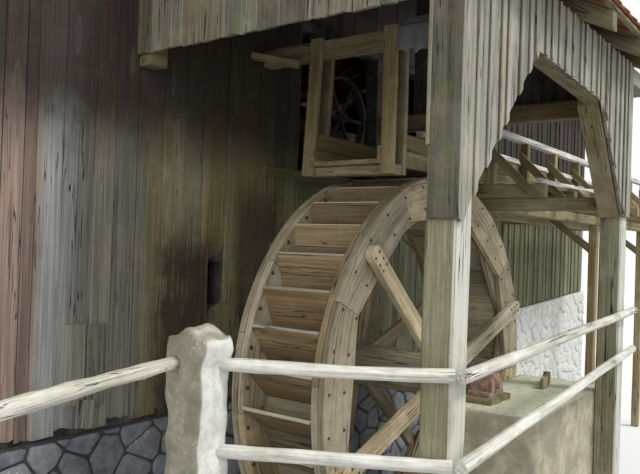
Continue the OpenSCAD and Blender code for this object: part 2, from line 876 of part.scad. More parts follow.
plinth_front();
plinth_rear();
end_plinths();
front_wall_near();
front_wall_far();
front_wall_below_hatch();
front_wall_above_hatch();
rear_wall();
gable_walls();
roof_rafters();
front_roof_tiles();
rear_roof_tiles();
shed_roof_tiles();
ridge_tiles();
near_post();
far_post();
eave_plate();
near_cross_beams();
far_cross_beams();
near_apron();
far_apron();
side_apron();
knee_braces();
apron_rail();
flume_hanger();
flume_trough();
flume_frames();
flume_rails();
flume_trestles();
bearing_pier();
inner_pier();
bearing_chocks();
bearing_blocks();
stone_fence_posts();
fence_rails();
wheel_axle();
wheel_gudgeons();
wheel_shrouds();
wheel_sole();
bucket_floors();
bucket_faces();
wheel_arms();
pulley_hangers();
pulley_wheel();
pulley_shaft();
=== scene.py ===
import math
import random

import bmesh
import bpy
from bpy.props import FloatProperty, FloatVectorProperty, IntProperty, PointerProperty
from bpy.types import Operator, Panel, PropertyGroup
from mathutils import Matrix, Vector, noise


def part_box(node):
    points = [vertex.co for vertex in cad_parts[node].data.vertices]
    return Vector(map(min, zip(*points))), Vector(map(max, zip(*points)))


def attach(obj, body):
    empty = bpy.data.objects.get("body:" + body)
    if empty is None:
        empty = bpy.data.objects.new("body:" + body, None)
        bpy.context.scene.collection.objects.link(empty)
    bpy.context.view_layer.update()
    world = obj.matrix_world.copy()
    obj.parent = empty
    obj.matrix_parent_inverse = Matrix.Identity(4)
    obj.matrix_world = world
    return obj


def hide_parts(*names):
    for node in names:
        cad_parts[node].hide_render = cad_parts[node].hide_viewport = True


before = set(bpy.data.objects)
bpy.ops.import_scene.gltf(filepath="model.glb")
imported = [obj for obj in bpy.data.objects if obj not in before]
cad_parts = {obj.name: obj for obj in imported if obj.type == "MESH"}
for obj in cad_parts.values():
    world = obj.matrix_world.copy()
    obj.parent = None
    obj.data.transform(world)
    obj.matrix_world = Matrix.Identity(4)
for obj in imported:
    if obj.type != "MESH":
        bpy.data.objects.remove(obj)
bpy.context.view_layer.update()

bl_info = {
    "name": "Overshot Watermill",
    "version": (1, 0, 0),
    "blender": (4, 5, 0),
    "location": "3D View > Sidebar > Watermill",
    "description": "Dresses the watermill's frame with boards, stones, tiles, wheel planks and finishes",
    "category": "Add Mesh",
}

SEED = 7
AXIS_X, AXIS_Y, AXIS_Z = (1, 0, 0), (0, 1, 0), (0, 0, 1)

# Edges of the front wall's boards up to the axle, and of the boards over the axle, along y
SEEN_EDGES = [-3.41, -3.25, -3.16, -2.95, -2.69, -2.5, -2.29, -2.03, -1.79, -1.58, -1.48, -1.29, -1.11, -0.86,
              -0.63, -0.44, -0.275]
AXLE_EDGES = [-0.275, -0.14, 0.02, 0.17, 0.275]
# The board that has a hole broken out of it, and the hole's foot and head
HOLE_EDGE, HOLE_FOOT, HOLE_HEAD = -1.48, 2.58, 2.83
# Patch boards at the foot of the wall: foot, head, width, thickness and how far the two ends are torn
PATCHES = (((0.022, -2.8, 1.83), (0.02, -2.8, 2.46), 0.17, 0.02, (0.05, 0.02)),
           ((0.022, -2.62, 1.82), (0.02, -2.625, 2.44), 0.16, 0.02, (0.02, 0.01)),
           ((0.04, -2.72, 1.66), (0.036, -2.7, 1.9), 0.15, 0.018, (0.04, 0.03)))
# Height of the hatch's head below the top of the wall above it, and the gap between the plinth and a board's foot
OVER_HATCH, SEAT = 1.05, 0.004
# Heights of the fence's upper and lower rail
UPPER_RAIL, LOWER_RAIL = 2.39, 1.89
# Lower edge of the boards of the near apron
APRON_Z = 4.53
# Radius at which the pegs of the buckets stand
PEG_R = 1.762
# How worn the edges of squared timber are, how uneven its faces, and into how many strips a face is divided
HEWN = {"wear": 0.012, "rough": 0.006, "cells": 2}
SQUARED = {"wear": 0.01, "rough": 0.006, "cells": 2}


def tint(red, green, blue):
    """A screen colour, from 0 to 255, as Blender holds it."""
    return tuple((c / 255 / 12.92) if c < 10.3 else ((c / 255 + 0.055) / 1.055) ** 2.4 for c in (red, green, blue))


def solids(node):
    """The lowest and highest corners of every loose solid of a CAD node, sorted along x, y and z."""
    mesh = bmesh.new()
    mesh.from_mesh(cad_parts[node].data)
    bmesh.ops.remove_doubles(mesh, verts=mesh.verts, dist=1e-5)
    left, found = set(mesh.verts), []
    while left:
        group = [left.pop()]
        # The group grows while it is walked, until no neighbour is left
        for vert in group:
            near = {edge.other_vert(vert) for edge in vert.link_edges} & left
            left -= near
            group += near
        found.append([Vector([pick(vert.co[k] for vert in group) for k in range(3)]) for pick in (min, max)])
    mesh.free()
    return sorted(found, key=lambda s: tuple(round(v, 3) for v in s[0]))


def centre(points):
    """The mean of some points of a plane."""
    return sum(points, Vector((0, 0))) / len(points)


def put(name, data):
    """A new object in the scene."""
    made = bpy.data.objects.new(name, data)
    bpy.context.scene.collection.objects.link(made)
    return made


# Where the CAD model has the house, the shed and the wheel
WALL_NEAR, WALL_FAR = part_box("front_wall_near"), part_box("front_wall_far")
HOUSE_Y0, HOUSE_Y1 = WALL_NEAR[0].y, WALL_FAR[1].y
HATCH_Y0, HATCH_Y1 = WALL_NEAR[1].y, WALL_FAR[0].y
PLINTH_Z = WALL_NEAR[0].z
FAR_PLINTH_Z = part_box("plinth_front")[1].z
# At the hatch the plinth steps up by 300 of the 660 mm that it gains up to its far end
STEP_Z = PLINTH_Z + (FAR_PLINTH_Z - PLINTH_Z) * 300 / 660
HOUSE_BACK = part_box("rear_wall")[0].x
RIDGE_X = HOUSE_BACK / 2
RISE = math.tan(math.radians(27))
WALL_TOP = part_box("rear_wall")[1].z - RISE * (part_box("rear_wall")[1].x - HOUSE_BACK)
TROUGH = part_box("flume_trough")
SHROUDS = solids("wheel_shrouds")
AXLE_Z = (SHROUDS[0][0].z + SHROUDS[0][1].z) / 2
WHEEL_R = (SHROUDS[0][1].z - SHROUDS[0][0].z) / 2
SOLE_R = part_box("wheel_sole")[1].y
NEAR_POST, FAR_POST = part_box("near_post"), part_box("far_post")


def across_ridge(x):
    """The place on the other slope of the roof that lies as far from the ridge."""
    return 2 * RIDGE_X - x


def roof_z(x):
    """Height of the rafters' underside at a distance from the wheel wall."""
    return WALL_TOP - max(x, across_ridge(x)) * RISE


def plinth_top(y):
    """Height of the plinth along the wheel wall, which steps up behind the hatch and rises from there."""
    if y < HATCH_Y1:
        return PLINTH_Z
    return STEP_Z + (FAR_PLINTH_Z - STEP_Z) * (y - HATCH_Y1) / (HOUSE_Y1 - HATCH_Y1)


def on_wheel(x, radius, angle):
    """A point at a radius and an angle round the wheel's axis."""
    return Vector((x, radius * math.cos(angle), AXLE_Z + radius * math.sin(angle)))


def tangent(angle):
    """The direction round the wheel's axis at an angle."""
    return Vector((0, -math.sin(angle), math.cos(angle)))


def length(name, description, default, low, high):
    """A length that a user would change."""
    return FloatProperty(name=name, description=description, default=default, min=low, max=high, unit="LENGTH")


def number(name, description, default, low, high):
    """A number of pieces that a user would change."""
    return IntProperty(name=name, description=description, default=default, min=low, max=high)


class WatermillSizes(PropertyGroup):
    board_width: length("Board width", "Mean width of a wall board", 0.23, 0.1, 0.4)
    board_gap: length("Board gap", "Gap between two wall boards", 0.006, 0.001, 0.02)
    batten_width: length("Batten width", "Width of the battens over the joints", 0.055, 0.03, 0.08)
    stone_height: length("Stone height", "Mean height of a course of rubble", 0.19, 0.1, 0.4)
    stone_length: length("Stone length", "Mean length of a rubble stone", 0.34, 0.15, 0.8)
    tile_width: length("Tile width", "Width of a roof tile", 0.24, 0.15, 0.4)
    tile_gauge: length("Tile gauge", "Distance from one course of tiles to the next", 0.3, 0.15, 0.45)
    felloes: number("Felloes", "Planks in one layer of a shroud", 9, 6, 16)
    shroud_layer: length("Shroud layer", "Thickness of one layer of a shroud", 0.062, 0.03, 0.08)
    buckets: number("Buckets", "Leaning boards round the wheel", 35, 24, 48)
    sole_planks: number("Sole planks", "Planks of the wheel's sole", 56, 28, 112)


def colour(name, description, red, green, blue):
    """A colour that a user would change."""
    return FloatVectorProperty(name=name, description=description, subtype="COLOR", size=3, min=0, max=1,
                               default=tint(red, green, blue))


class WatermillColours(PropertyGroup):
    wall_board: colour("Wall boards", "Weathered boards of the mill wall", 118, 114, 82)
    wall_pink: colour("Sunned boards", "Pinkish boards where the sun reaches the wall", 138, 116, 110)
    wall_pale: colour("Washed boards", "Pale blue-grey boards that rain has washed", 138, 142, 146)
    wall_brown: colour("Brown boards", "Boards that rain doesn't reach", 56, 41, 32)
    wall_wet: colour("Wet boards", "Stain of the wheel's spray", 52, 38, 22)
    apron: colour("Apron boards", "Silvered boards of the aprons", 112, 109, 92)
    post: colour("Posts", "Greenish weathered posts and plates", 132, 130, 102)
    beam: colour("Beams", "Brown beams and flume timber", 134, 121, 84)
    wheel: colour("Wheel planks", "Damp planks of the wheel", 168, 157, 131)
    bucket: colour("Bucket boards", "Orange-brown boards of the buckets", 146, 125, 88)
    rail: colour("Fence rails", "Bleached fence rails", 222, 220, 208)
    moss: colour("Moss", "Moss and algae on damp wood", 104, 110, 50)
    rust: colour("Rust", "Dusty rusty iron of the bearings", 150, 122, 108)
    pulley: colour("Pulley", "Dark iron of the pulley", 62, 50, 50)
    rubble: colour("Rubble", "Stones of the plinth", 112, 114, 118)
    mortar: colour("Mortar", "Joints of the plinth", 66, 66, 62)
    limewash: colour("Limewash", "Lime on the far plinth", 218, 217, 212)
    concrete: colour("Concrete", "Bearing pier", 164, 158, 138)
    granite: colour("Fence stone", "Rough stone of the fence posts", 164, 160, 144)
    cloth: colour("Torn sheet", "Grey sheet thrown over the cross beam", 128, 134, 142)
    tile: colour("Tiles", "Fired clay of the roof", 160, 96, 62)
    stage: colour("Floor", "Studio floor", 226, 226, 224)


class Wire:
    """A socket of a node that takes part in sums as a number would."""

    def __init__(self, nodes, socket):
        self.nodes, self.socket = nodes, socket

    def worked(self, operation, *values, clamp=False):
        """The value that a Math node works out."""
        return self.nodes.node("ShaderNodeMath", {"operation": operation, "use_clamp": clamp}, dict(enumerate(values)))

    def __add__(self, other):
        return self.worked("ADD", self, other)

    def __sub__(self, other):
        return self.worked("SUBTRACT", self, other)

    def __rsub__(self, other):
        return self.worked("SUBTRACT", other, self)

    def __mul__(self, other):
        return self.worked("MULTIPLY", self, other)

    __radd__, __rmul__ = __add__, __mul__

    def clamped(self):
        return self.worked("ADD", self, 0.0, clamp=True)

    def size(self):
        return self.worked("ABSOLUTE", self)

    def sine(self):
        return self.worked("SINE", self)

    def fraction(self):
        return self.worked("FRACT", self)


class Nodes:
    """The tree of nodes of a material or of the world."""

    def __init__(self, owner):
        owner.use_nodes = True
        self.tree = owner.node_tree
        self.tree.nodes.clear()

    def node(self, kind, settings=None, sockets=None, out=0):
        """Make a node with its settings and the values or links of its sockets, and give one of its outputs."""
        made = self.tree.nodes.new(kind)
        for key, value in (settings or {}).items():
            setattr(made, key, value)
        for key, value in (sockets or {}).items():
            socket = made.inputs[key]
            if isinstance(value, Wire):
                self.tree.links.new(value.socket, socket)
            else:
                socket.default_value = (*value, 1.0) if socket.type == "RGBA" else value
        return Wire(self, made.outputs[out]) if made.outputs else None

    def seen(self):
        """1 for what the camera sees, in gloss and through glass too, and 0 for the light that falls on things."""
        camera, gloss, glass = [self.node("ShaderNodeLightPath", out=ray)
                                for ray in ("Is Camera Ray", "Is Glossy Ray", "Is Transmission Ray")]
        return (camera + gloss + glass).clamped()


class Finish(Nodes):
    """A material and the nodes that make it."""

    def __init__(self, name):
        self.material = bpy.data.materials.new(name)
        super().__init__(self.material)

    def place(self):
        return self.node("ShaderNodeTexCoord", out="Object")

    def facing(self, axis):
        """How much a surface faces along an axis."""
        return self.part(self.node("ShaderNodeNewGeometry", out="Normal"), axis)

    def grain(self):
        """Where a point lies in its own board."""
        return self.node("ShaderNodeAttribute", {"attribute_name": "grain"}, out="Vector")

    def tone(self):
        """A number from 0 to 1 that each board, stone or tile has for itself."""
        return self.node("ShaderNodeAttribute", {"attribute_name": "tone"}, out="Fac")

    def part(self, co, axis):
        return self.node("ShaderNodeSeparateXYZ", {}, {0: co}, axis)

    def stretched(self, co, x, y, z):
        return self.node("ShaderNodeVectorMath", {"operation": "MULTIPLY"}, {0: co, 1: (x, y, z)})

    def noise(self, co, scale, detail=3.0, roughness=0.6):
        return self.node("ShaderNodeTexNoise", {}, {"Vector": co, "Scale": scale, "Detail": detail,
                                                    "Roughness": roughness})

    def drawn(self, grain, along, across, detail, roughness=0.6):
        """Noise that is drawn out along the grain."""
        return self.noise(self.stretched(grain, along, across, across), 1.0, detail, roughness)

    def spots(self, co, scale):
        """Distance to the nearest of scattered points."""
        return self.node("ShaderNodeTexVoronoi", {"feature": "F1"}, {"Vector": co, "Scale": scale})

    def ramp(self, value, low, high):
        """0 below low, 1 above high and smooth between them."""
        return self.node("ShaderNodeMapRange", {"interpolation_type": "SMOOTHSTEP"}, {0: value, 1: low, 2: high})

    def band(self, value, low, high, soft):
        """1 between low and high, with soft ends."""
        return self.ramp(value, low - soft, low + soft) * (1 - self.ramp(value, high - soft, high + soft))

    def mix(self, share, a, b, mode="MIX"):
        """Two colours mixed. A Mix node has them at sockets 6 and 7 and gives the result at 2."""
        return self.node("ShaderNodeMix", {"data_type": "RGBA", "blend_type": mode}, {0: share, 6: a, 7: b}, 2)

    def tinted(self, now, rgb):
        return self.mix(1.0, now, rgb, "MULTIPLY")

    def bump(self, height, depth, strength):
        return self.node("ShaderNodeBump", {}, {"Strength": strength, "Distance": depth, "Height": height})

    def done(self, base, roughness, normal=None, metallic=0.0):
        sockets = {"Base Color": base, "Roughness": roughness, "Metallic": metallic}
        if normal:
            sockets["Normal"] = normal
        shader = self.node("ShaderNodeBsdfPrincipled", {}, sockets)
        self.node("ShaderNodeOutputMaterial", {}, {"Surface": shader})
        return self.material


def shade(rgb, share):
    """A colour made darker or lighter by one factor."""
    return tuple(min(1.0, c * share) for c in rgb)


def blend(a, b, share):
    """A colour between two others."""
    return tuple(x + (y - x) * share for x, y in zip(a, b))


def timber(name, base, moss, green=0.25, checks=1.0, bleach=0.35, own=True, stain=None, sun=0.0, vary=1.0):
    """Weathered wood with fibres, streaks, knots and drying checks, and algae in patches."""
    f = Finish(name)
    world = f.place()
    if own:
        grain, tone = f.grain(), f.tone()
    else:
        # The frame's own solids have no grain, so theirs runs upright
        grain = f.node("ShaderNodeCombineXYZ", {}, {k: f.part(world, 2 - k) for k in range(3)})
        tone = f.noise(world, 0.7)
    kind = (tone * 7.3).fraction()
    fibre = f.drawn(grain, 5, 260, 3.0)
    warp = f.drawn(grain, 1.1, 5, 2.0)
    streak = f.drawn(grain, 0.8, 38, 5.0, 0.7)
    broad = f.drawn(grain, 0.5, 9, 3.0)
    figure = (f.part(grain, 1) * 230 + warp * 34).sine()
    cell = f.spots(f.stretched(grain, 1.3, 7.5, 4), 1.0)
    knot = 1 - f.ramp(cell, 0.05, 0.13)
    ring = f.band(cell, 0.12, 0.2, 0.03)
    gap = (f.drawn(grain, 1.0, 34, 2.0, 0.4) - 0.5).size()
    check = (1 - f.ramp(gap, 0.005, 0.016)) * f.ramp(f.drawn(grain, 0.9, 5, 1.0), 0.46, 0.6) * checks
    patch = f.noise(world, 2.3, 5.0, 0.7)
    grey, silver, sunned = (0.36, 0.36, 0.34), (0.6, 0.6, 0.58), (0.66, 0.66, 0.62)
    now = f.mix(f.ramp(streak, 0.34, 0.66), shade(base, 0.5), shade(base, 1.12))
    now = f.mix(f.ramp(broad, 0.38, 0.62) * 0.45, now, blend(shade(base, 1.25), grey, 0.35))
    now = f.mix(f.ramp(fibre, 0.35, 0.7) * 0.45, now, shade(base, 0.42))
    now = f.mix(f.ramp(patch, 0.45, 0.7) * bleach, now, blend(shade(base, 1.5), silver, 0.4))
    now = f.mix((figure * 0.5 + 0.5) * 0.16, now, shade(base, 0.4))
    if stain:
        now = stain(f, world, now, streak, patch)
    # Each board is lighter, darker or warmer than the next
    now = f.mix(f.ramp(tone, 0.35, 1.0) * 0.6 * vary, now, f.tinted(now, (1.36, 1.32, 1.26)))
    now = f.mix((1 - f.ramp(tone, 0.0, 0.55)) * 0.7 * vary, now, f.tinted(now, (0.6, 0.56, 0.5)))
    now = f.mix(f.ramp(kind, 0.35, 0.95) * 0.7 * vary, now, f.tinted(now, (1.1, 0.97, 0.78)))
    # Painted sunlight: faces that look along +x are painted paler, as if the sun fell on them
    if sun:
        lit = f.ramp(f.facing(0), 0.5, 0.85) * sun * (0.55 + f.ramp(streak, 0.3, 0.6) * 0.45)
        now = f.mix(lit, now, blend(shade(base, 1.5), sunned, 0.75))
    algae = f.ramp(f.noise(world, 5.0, 4.0, 0.7) + f.facing(2) * 0.12, 0.5, 0.72) * green
    now = f.mix(algae, now, moss)
    now = f.mix(ring * 0.3, now, shade(base, 0.5))
    now = f.mix(knot * 0.8, now, shade(base, 0.22))
    now = f.mix(check * 0.9, now, shade(base, 0.08))
    height = streak * 0.55 + fibre * 0.25 - check * 0.9 - knot * 0.25 + figure * 0.06
    return f.done(now, 0.76 + fibre * 0.2, f.bump(height, 0.006, 0.9))


def masonry(name, base, other, damp_z=None, wash=None, lichen=0.4, grit=1.0, sun=0.0, top=0.0, vary=1.0):
    """Rough stone or concrete with grit, blotches and lichen, damp below a height."""
    f = Finish(name)
    world, tone = f.place(), f.tone()
    large = f.noise(world, 3.0, 6.0, 0.65)
    middle = f.noise(world, 17.0, 6.0, 0.7)
    fine = f.noise(world, 130.0, 4.0, 0.7)
    blotch = f.ramp(middle, 0.35, 0.6)
    now = f.mix(f.ramp(large, 0.35, 0.65), shade(base, 0.6), shade(base, 1.15))
    now = f.mix(f.ramp(middle, 0.4, 0.65) * 0.55, now, other)
    # Each stone is lighter or darker than the next
    now = f.mix(tone * 0.45 * vary, now, f.tinted(now, (1.34, 1.3, 1.22)))
    now = f.mix((1 - tone) * 0.5 * vary, now, f.tinted(now, (0.58, 0.6, 0.66)))
    now = f.mix(f.ramp(fine, 0.55, 0.75) * 0.45, now, shade(base, 0.35))
    pit = f.ramp(middle, 0.6, 0.7) * f.ramp(fine, 0.4, 0.6)
    now = f.mix(pit * 0.5, now, shade(base, 0.3))
    # Painted sunlight: faces that look along +x are painted pale, as if the sun fell on them
    if sun:
        pale = f.mix(blotch, (0.6, 0.6, 0.54), (0.78, 0.78, 0.74))
        now = f.mix(f.ramp(f.facing(0), 0.35, 0.75) * sun, now, pale)
    if top:
        mossy = f.mix(blotch, (0.38, 0.4, 0.25), (0.6, 0.62, 0.46))
        now = f.mix(f.ramp(f.facing(2), 0.6, 0.9) * top, now, mossy)
    spots = (1 - f.ramp(f.spots(world, 26.0), 0.16, 0.3)) * f.ramp(large, 0.5, 0.62)
    now = f.mix(spots * lichen, now, blend(other, (0.75, 0.75, 0.68), 0.6))
    if wash:
        now = wash(f, world, now, middle)
    if damp_z is not None:
        damp = (1 - f.ramp(f.part(world, 2) + large * 0.7, damp_z, damp_z + 0.9)) * 0.5
        now = f.mix(damp, now, shade(base, 0.4))
    height = large * 0.5 + middle * 0.4 + fine * 0.16
    return f.done(now, 0.82 + fine * 0.14, f.bump(height, 0.016 * grit, 0.9))


def rusty(name, base):
    """Old iron with scale and bloom."""
    f = Finish(name)
    world = f.place()
    bloom = f.noise(world, 22.0, 6.0, 0.7)
    scale = f.noise(world, 120.0, 4.0, 0.7)
    now = f.mix(f.ramp(bloom, 0.35, 0.65), shade(base, 0.5), shade(base, 1.25))
    now = f.mix(f.ramp(scale, 0.5, 0.7) * 0.5, now, blend(base, (0.42, 0.2, 0.1), 0.6))
    return f.done(now, 0.7 + scale * 0.22, f.bump(bloom * 0.6 + scale * 0.4, 0.004, 0.8), 0.15)


def cloth(name, base, dirt):
    """A thin woven sheet, grey and dirty, with fine threads and creases."""
    f = Finish(name)
    grain = f.grain()
    blotch = f.noise(f.place(), 14.0, 5.0, 0.7)
    weave = ((f.part(grain, 0) * 2600).sine() + (f.part(grain, 1) * 2600).sine()) * 0.25 + 0.5
    crease = f.noise(f.stretched(grain, 9, 3, 1), 1.0, 4.0, 0.7)
    now = f.mix(f.ramp(blotch, 0.42, 0.66) * 0.7, base, dirt)
    # Painted shade: the creases are painted darker, as shade in their folds
    now = f.mix(f.ramp(crease, 0.5, 0.7) * 0.4, now, shade(base, 0.45))
    return f.done(now, 0.7 + blotch * 0.2, f.bump(weave * 0.2 + crease, 0.004, 0.7))


def clay(name, base, moss):
    """Fired clay tiles that weather differently one by one."""
    f = Finish(name)
    world, tone = f.place(), f.tone()
    large = f.noise(world, 2.0, 5.0, 0.7)
    fine = f.noise(world, 90.0, 4.0, 0.7)
    now = f.mix(tone, shade(base, 0.62), shade(base, 1.2))
    now = f.mix(f.ramp(large, 0.4, 0.7) * 0.35, now, shade(blend(base, (0.3, 0.27, 0.22), 0.6), 0.8))
    now = f.mix(f.ramp(fine, 0.5, 0.72) * 0.3, now, shade(base, 0.45))
    grown = f.ramp(f.noise(world, 6.0, 5.0, 0.75) + f.facing(2) * 0.08, 0.6, 0.74) * 0.55
    now = f.mix(grown, now, moss)
    return f.done(now, 0.78 + fine * 0.15, f.bump(fine * 0.5 + grown, 0.004, 0.7))


def wall_stain(pick):
    """How spray has stained the wheel wall and how its boards differ in colour along it, with painted sunlight on the
    near end and painted shade of the eaves along the top.
    """
    brown, wet, pink, pale, moss = (pick[n] for n in ("wall_brown", "wall_wet", "wall_pink", "wall_pale", "moss"))

    def stain(f, world, now, streak, patch):
        """The bounds are metres along the wall, from the near end on, and metres up."""
        y, z = f.part(world, 1), f.part(world, 2)
        lit = f.ramp(streak, 0.34, 0.66)
        run = streak * 0.7 + patch * 0.6
        up = z + run * 0.9

        def tinge(share, now, dark, light):
            """Colour a stretch of the wall, dark or light by the streaks."""
            return f.mix(share, now, f.mix(lit, dark, light))

        # Painted sunlight: the near end of the wall, where the sun falls on it, is painted as lighter, pinker boards
        left = 1 - f.ramp(y + patch * 0.15, -3.1, -2.98)
        now = tinge(left * 0.85, now, shade(pink, 0.55), shade(pink, 1.1))
        # Painted light: beside it a stretch of boards is painted pale and lighter where the light falls; the blue-grey
        # tint is the boards' own
        washed = f.band(y + patch * 0.2, -3.02, -2.72, 0.07)
        now = tinge(washed * 0.8, now, shade(pale, 0.6), shade(pale, 1.2))
        cold = f.band(y + patch * 0.2, -2.72, -2.1, 0.12)
        now = tinge(cold * 0.75, now, shade(pale, 0.3), shade(pale, 0.72))
        warm = f.ramp(y, -1.75, -1.4) * (1 - f.ramp(y, 1.0, 1.4))
        now = tinge(warm * 0.5, now, shade(wet, 1.9), blend(moss, wet, 0.2))
        spray = f.band(y + patch * 0.5, -1.8, -1.15, 0.14) * (1 - f.ramp(up, 3.5, 3.9))
        splash = f.band(y + patch * 0.4, -0.95, -0.35, 0.1) * (1 - f.ramp(up, 3.95, 4.4))
        soaked = (spray * 1.1 + splash * 0.9).clamped() * f.ramp(run, 0.42, 0.66)
        now = tinge(soaked, now, shade(wet, 0.6), wet)
        far = f.ramp(y, 1.3, 1.5) * (1 - f.ramp(z + patch * 0.2, 3.8, 4.0))
        now = tinge(far * 0.7, now, shade(moss, 0.5), blend(moss, pale, 0.5))
        # Painted shade of the eaves: along the top the boards are painted dark; the brown is their own colour, the
        # darkening is painted shade
        return tinge(f.ramp(up, 4.15, 4.8) * 0.97, now, shade(brown, 0.2), shade(brown, 0.55))

    return stain


class Shape:
    """Points and faces of one piece, gathered board by board, with the grain's place and each board's tone."""

    def __init__(self, seed):
        self.points, self.faces, self.smooth, self.grain, self.tone = [], [], [], [], []
        self.rand = random.Random(seed)

    def shift(self):
        """A random place in the grain, so that no two boards look the same."""
        return Vector([self.rand.uniform(-40, 40) for _ in range(3)])

    def skin(self, rings, grains, smooth=False):
        """Join rings of points into one closed board, pole or stone, which gets a tone of its own."""
        first, n, tone = len(self.points), len(rings[0]), self.rand.random()
        for ring, grain in zip(rings, grains):
            self.points += [tuple(p) for p in ring]
            self.grain += [tuple(g) for g in grain]
            self.tone += [tone] * n
        for k in range(len(rings) - 1):
            for i in range(n):
                a, b = first + k * n + i, first + k * n + (i + 1) % n
                self.faces.append((a, b, b + n, a + n))
                self.smooth.append(smooth)
        last = first + (len(rings) - 1) * n
        self.faces += [tuple(range(first + n - 1, first - 1, -1)), tuple(range(last, last + n))]
        self.smooth += [False, False]

    def sweep(self, place, length, width, thick, wear=0.004, rough=0.0015, cells=1, ragged=(0, 0), steps=0,
              nose=False):
        """A board along place(s, u, v), with worn edges and ends that may be broken or cut to a function."""
        steps = steps or max(1, round(length / 0.45))
        steps = steps or max(1, round(length / 0.45))
        shift = self.shift()
        h, t = width / 2, thick / 2
        c = min(wear, t * 0.8, h * 0.8)
        across = [-h + c + 2 * (h - c) * i / cells for i in range(cells + 1)]
        section = [(u, -t) for u in across] + [(h, -t + c), (h, t - c)]
        section += [(u, t) for u in reversed(across)] + [(-h, t - c), (-h, -t + c)]
        rings, grains = [], []
        for k in range(steps + 1):
            ring, grain = [], []
            for u, v in section:
                s = length * k / steps
                for end, sign in ((0, 1), (1, -1)):
                    if k == end * steps and ragged[end]:
                        cut = ragged[end]
                        broken = 0.5 + 0.5 * noise.noise(Vector((u * 23, end * 9.0, 0)) + shift)
                        s += sign * (cut(u) if callable(cut) else cut * broken)
                if nose and k == steps:
                    s -= h - math.sqrt(max(0, h * h - u * u))
                j = noise.noise_vector(Vector((s * 2.5, u * 8, v * 8)) + shift) * rough
                ring.append(place(s, u + j.x, v + j.y))
                grain.append((s + shift.x, u + shift.y, v + shift.z))
            rings.append(ring)
            grains.append(grain)
        self.skin(rings, grains)

    def plank(self, a, b, side, width, thick, bow=0.0, camber=0.0, **how):
        """A straight board from a to b, whose width runs along side."""
        a, b = Vector(a), Vector(b)
        along = (b - a).normalized()
        length = (b - a).length
        side = (Vector(side) - along * along.dot(Vector(side))).normalized()
        out = along.cross(side)

        def place(s, u, v):
            arch = bow * (1 - (2 * s / length - 1) ** 2) + camber * (2 * u / width) ** 2
            return a + along * s + side * u + out * (v + arch)

        self.sweep(place, length, width, thick, **how)

    def beam(self, lo, hi, **how):
        """A squared timber that fills a box, with its grain along the longest side."""
        lo, hi = Vector(lo), Vector(hi)
        size, mid = hi - lo, (lo + hi) / 2
        k = max(range(3), key=lambda n: size[n])
        i, j = [n for n in range(3) if n != k]
        a, b, side = mid.copy(), mid.copy(), Vector((0, 0, 0))
        a[k], b[k], side[i] = lo[k], hi[k], 1
        self.plank(a, b, side, size[i], size[j], **how)

    def pole(self, a, b, r0, r1, sides=14, rough=0.004, bend=0.012, flat=0.0, steps=0):
        """A rough round pole that tapers and bends a little."""
        a, b = Vector(a), Vector(b)
        along = b - a
        length = along.length
        side = along.orthogonal().normalized()
        up = along.normalized().cross(side)
        steps = steps or max(2, round(length / 0.12))
        shift = self.shift()
        rings, grains = [], []
        for k in range(steps + 1):
            s = k / steps
            off = noise.noise_vector(Vector((s * length * 0.7, 0, 0)) + shift) * bend * math.sin(math.pi * s)
            ring, grain = [], []
            for i in range(sides):
                angle = 2 * math.pi * i / sides
                r = r0 + (r1 - r0) * s
                r += rough * noise.noise(Vector((s * length * 6, math.cos(angle) * 2, math.sin(angle) * 2)) + shift)
                p = side * math.cos(angle) + up * math.sin(angle)
                p.z *= 1 - flat
                ring.append(a + along * s + off + p * r)
                grain.append((s * length + shift.x, r * math.cos(angle) + shift.y, r * math.sin(angle) + shift.z))
            rings.append(ring)
            grains.append(grain)
        self.skin(rings, grains, True)

    def stone(self, place, outline, depth):
        """A rough stone whose outline lies in a wall and whose face bulges out of it."""
        mid, shift = centre(outline), self.shift()
        rings, grains = [], []
        for share, out in ((1.0, -0.03), (1.0, 0.0), (0.95, 0.75), (0.82, 1.0), (0.35, 1.1)):
            ring = []
            for p in outline:
                q = mid + (p - mid) * share
                n = noise.noise(Vector((q.x * 5, q.y * 5, out)) + shift)
                ring.append(place(q.x, q.y, out * depth * (1 + 0.5 * n) if out > 0 else out))
            rings.append(ring)
            grains.append([Vector(p) + shift for p in ring])
        self.skin(rings, grains, True)

    def rough_block(self, lo, hi, cell, rough, radius, shape=None):
        """A stone or concrete block with rounded, uneven edges."""
        shift = self.shift()
        count = [max(2, round((hi[k] - lo[k]) / cell)) for k in range(3)]
        tone, seen = self.rand.random(), {}

        def point(n):
            if n not in seen:
                p = Vector([lo[k] + (hi[k] - lo[k]) * n[k] / count[k] for k in range(3)])
                q = Vector([min(max(p[k], lo[k] + radius), hi[k] - radius) for k in range(3)])
                p = q + (p - q).normalized() * radius if (p - q).length > 1e-9 else q
                coarse, fine = (noise.noise_vector(p * scale + shift) * rough for scale in (3.1, 11))
                p += coarse * 0.7 + fine * 0.4
                if shape:
                    p = shape(p)
                p = Vector([min(max(p[k], lo[k]), hi[k]) for k in range(3)])
                seen[n] = len(self.points)
                self.points.append(tuple(p))
                self.grain.append(tuple(p + shift))
                self.tone.append(tone)
            return seen[n]

        for k in range(3):
            i, j = (k + 1) % 3, (k + 2) % 3
            for end in (0, count[k]):
                for u in range(count[i]):
                    for v in range(count[j]):
                        corner = []
                        for du, dv in ((0, 0), (1, 0), (1, 1), (0, 1)):
                            n = [0, 0, 0]
                            n[k], n[i], n[j] = end, u + du, v + dv
                            corner.append(point(tuple(n)))
                        self.faces.append(tuple(corner if end else reversed(corner)))
                        self.smooth.append(True)

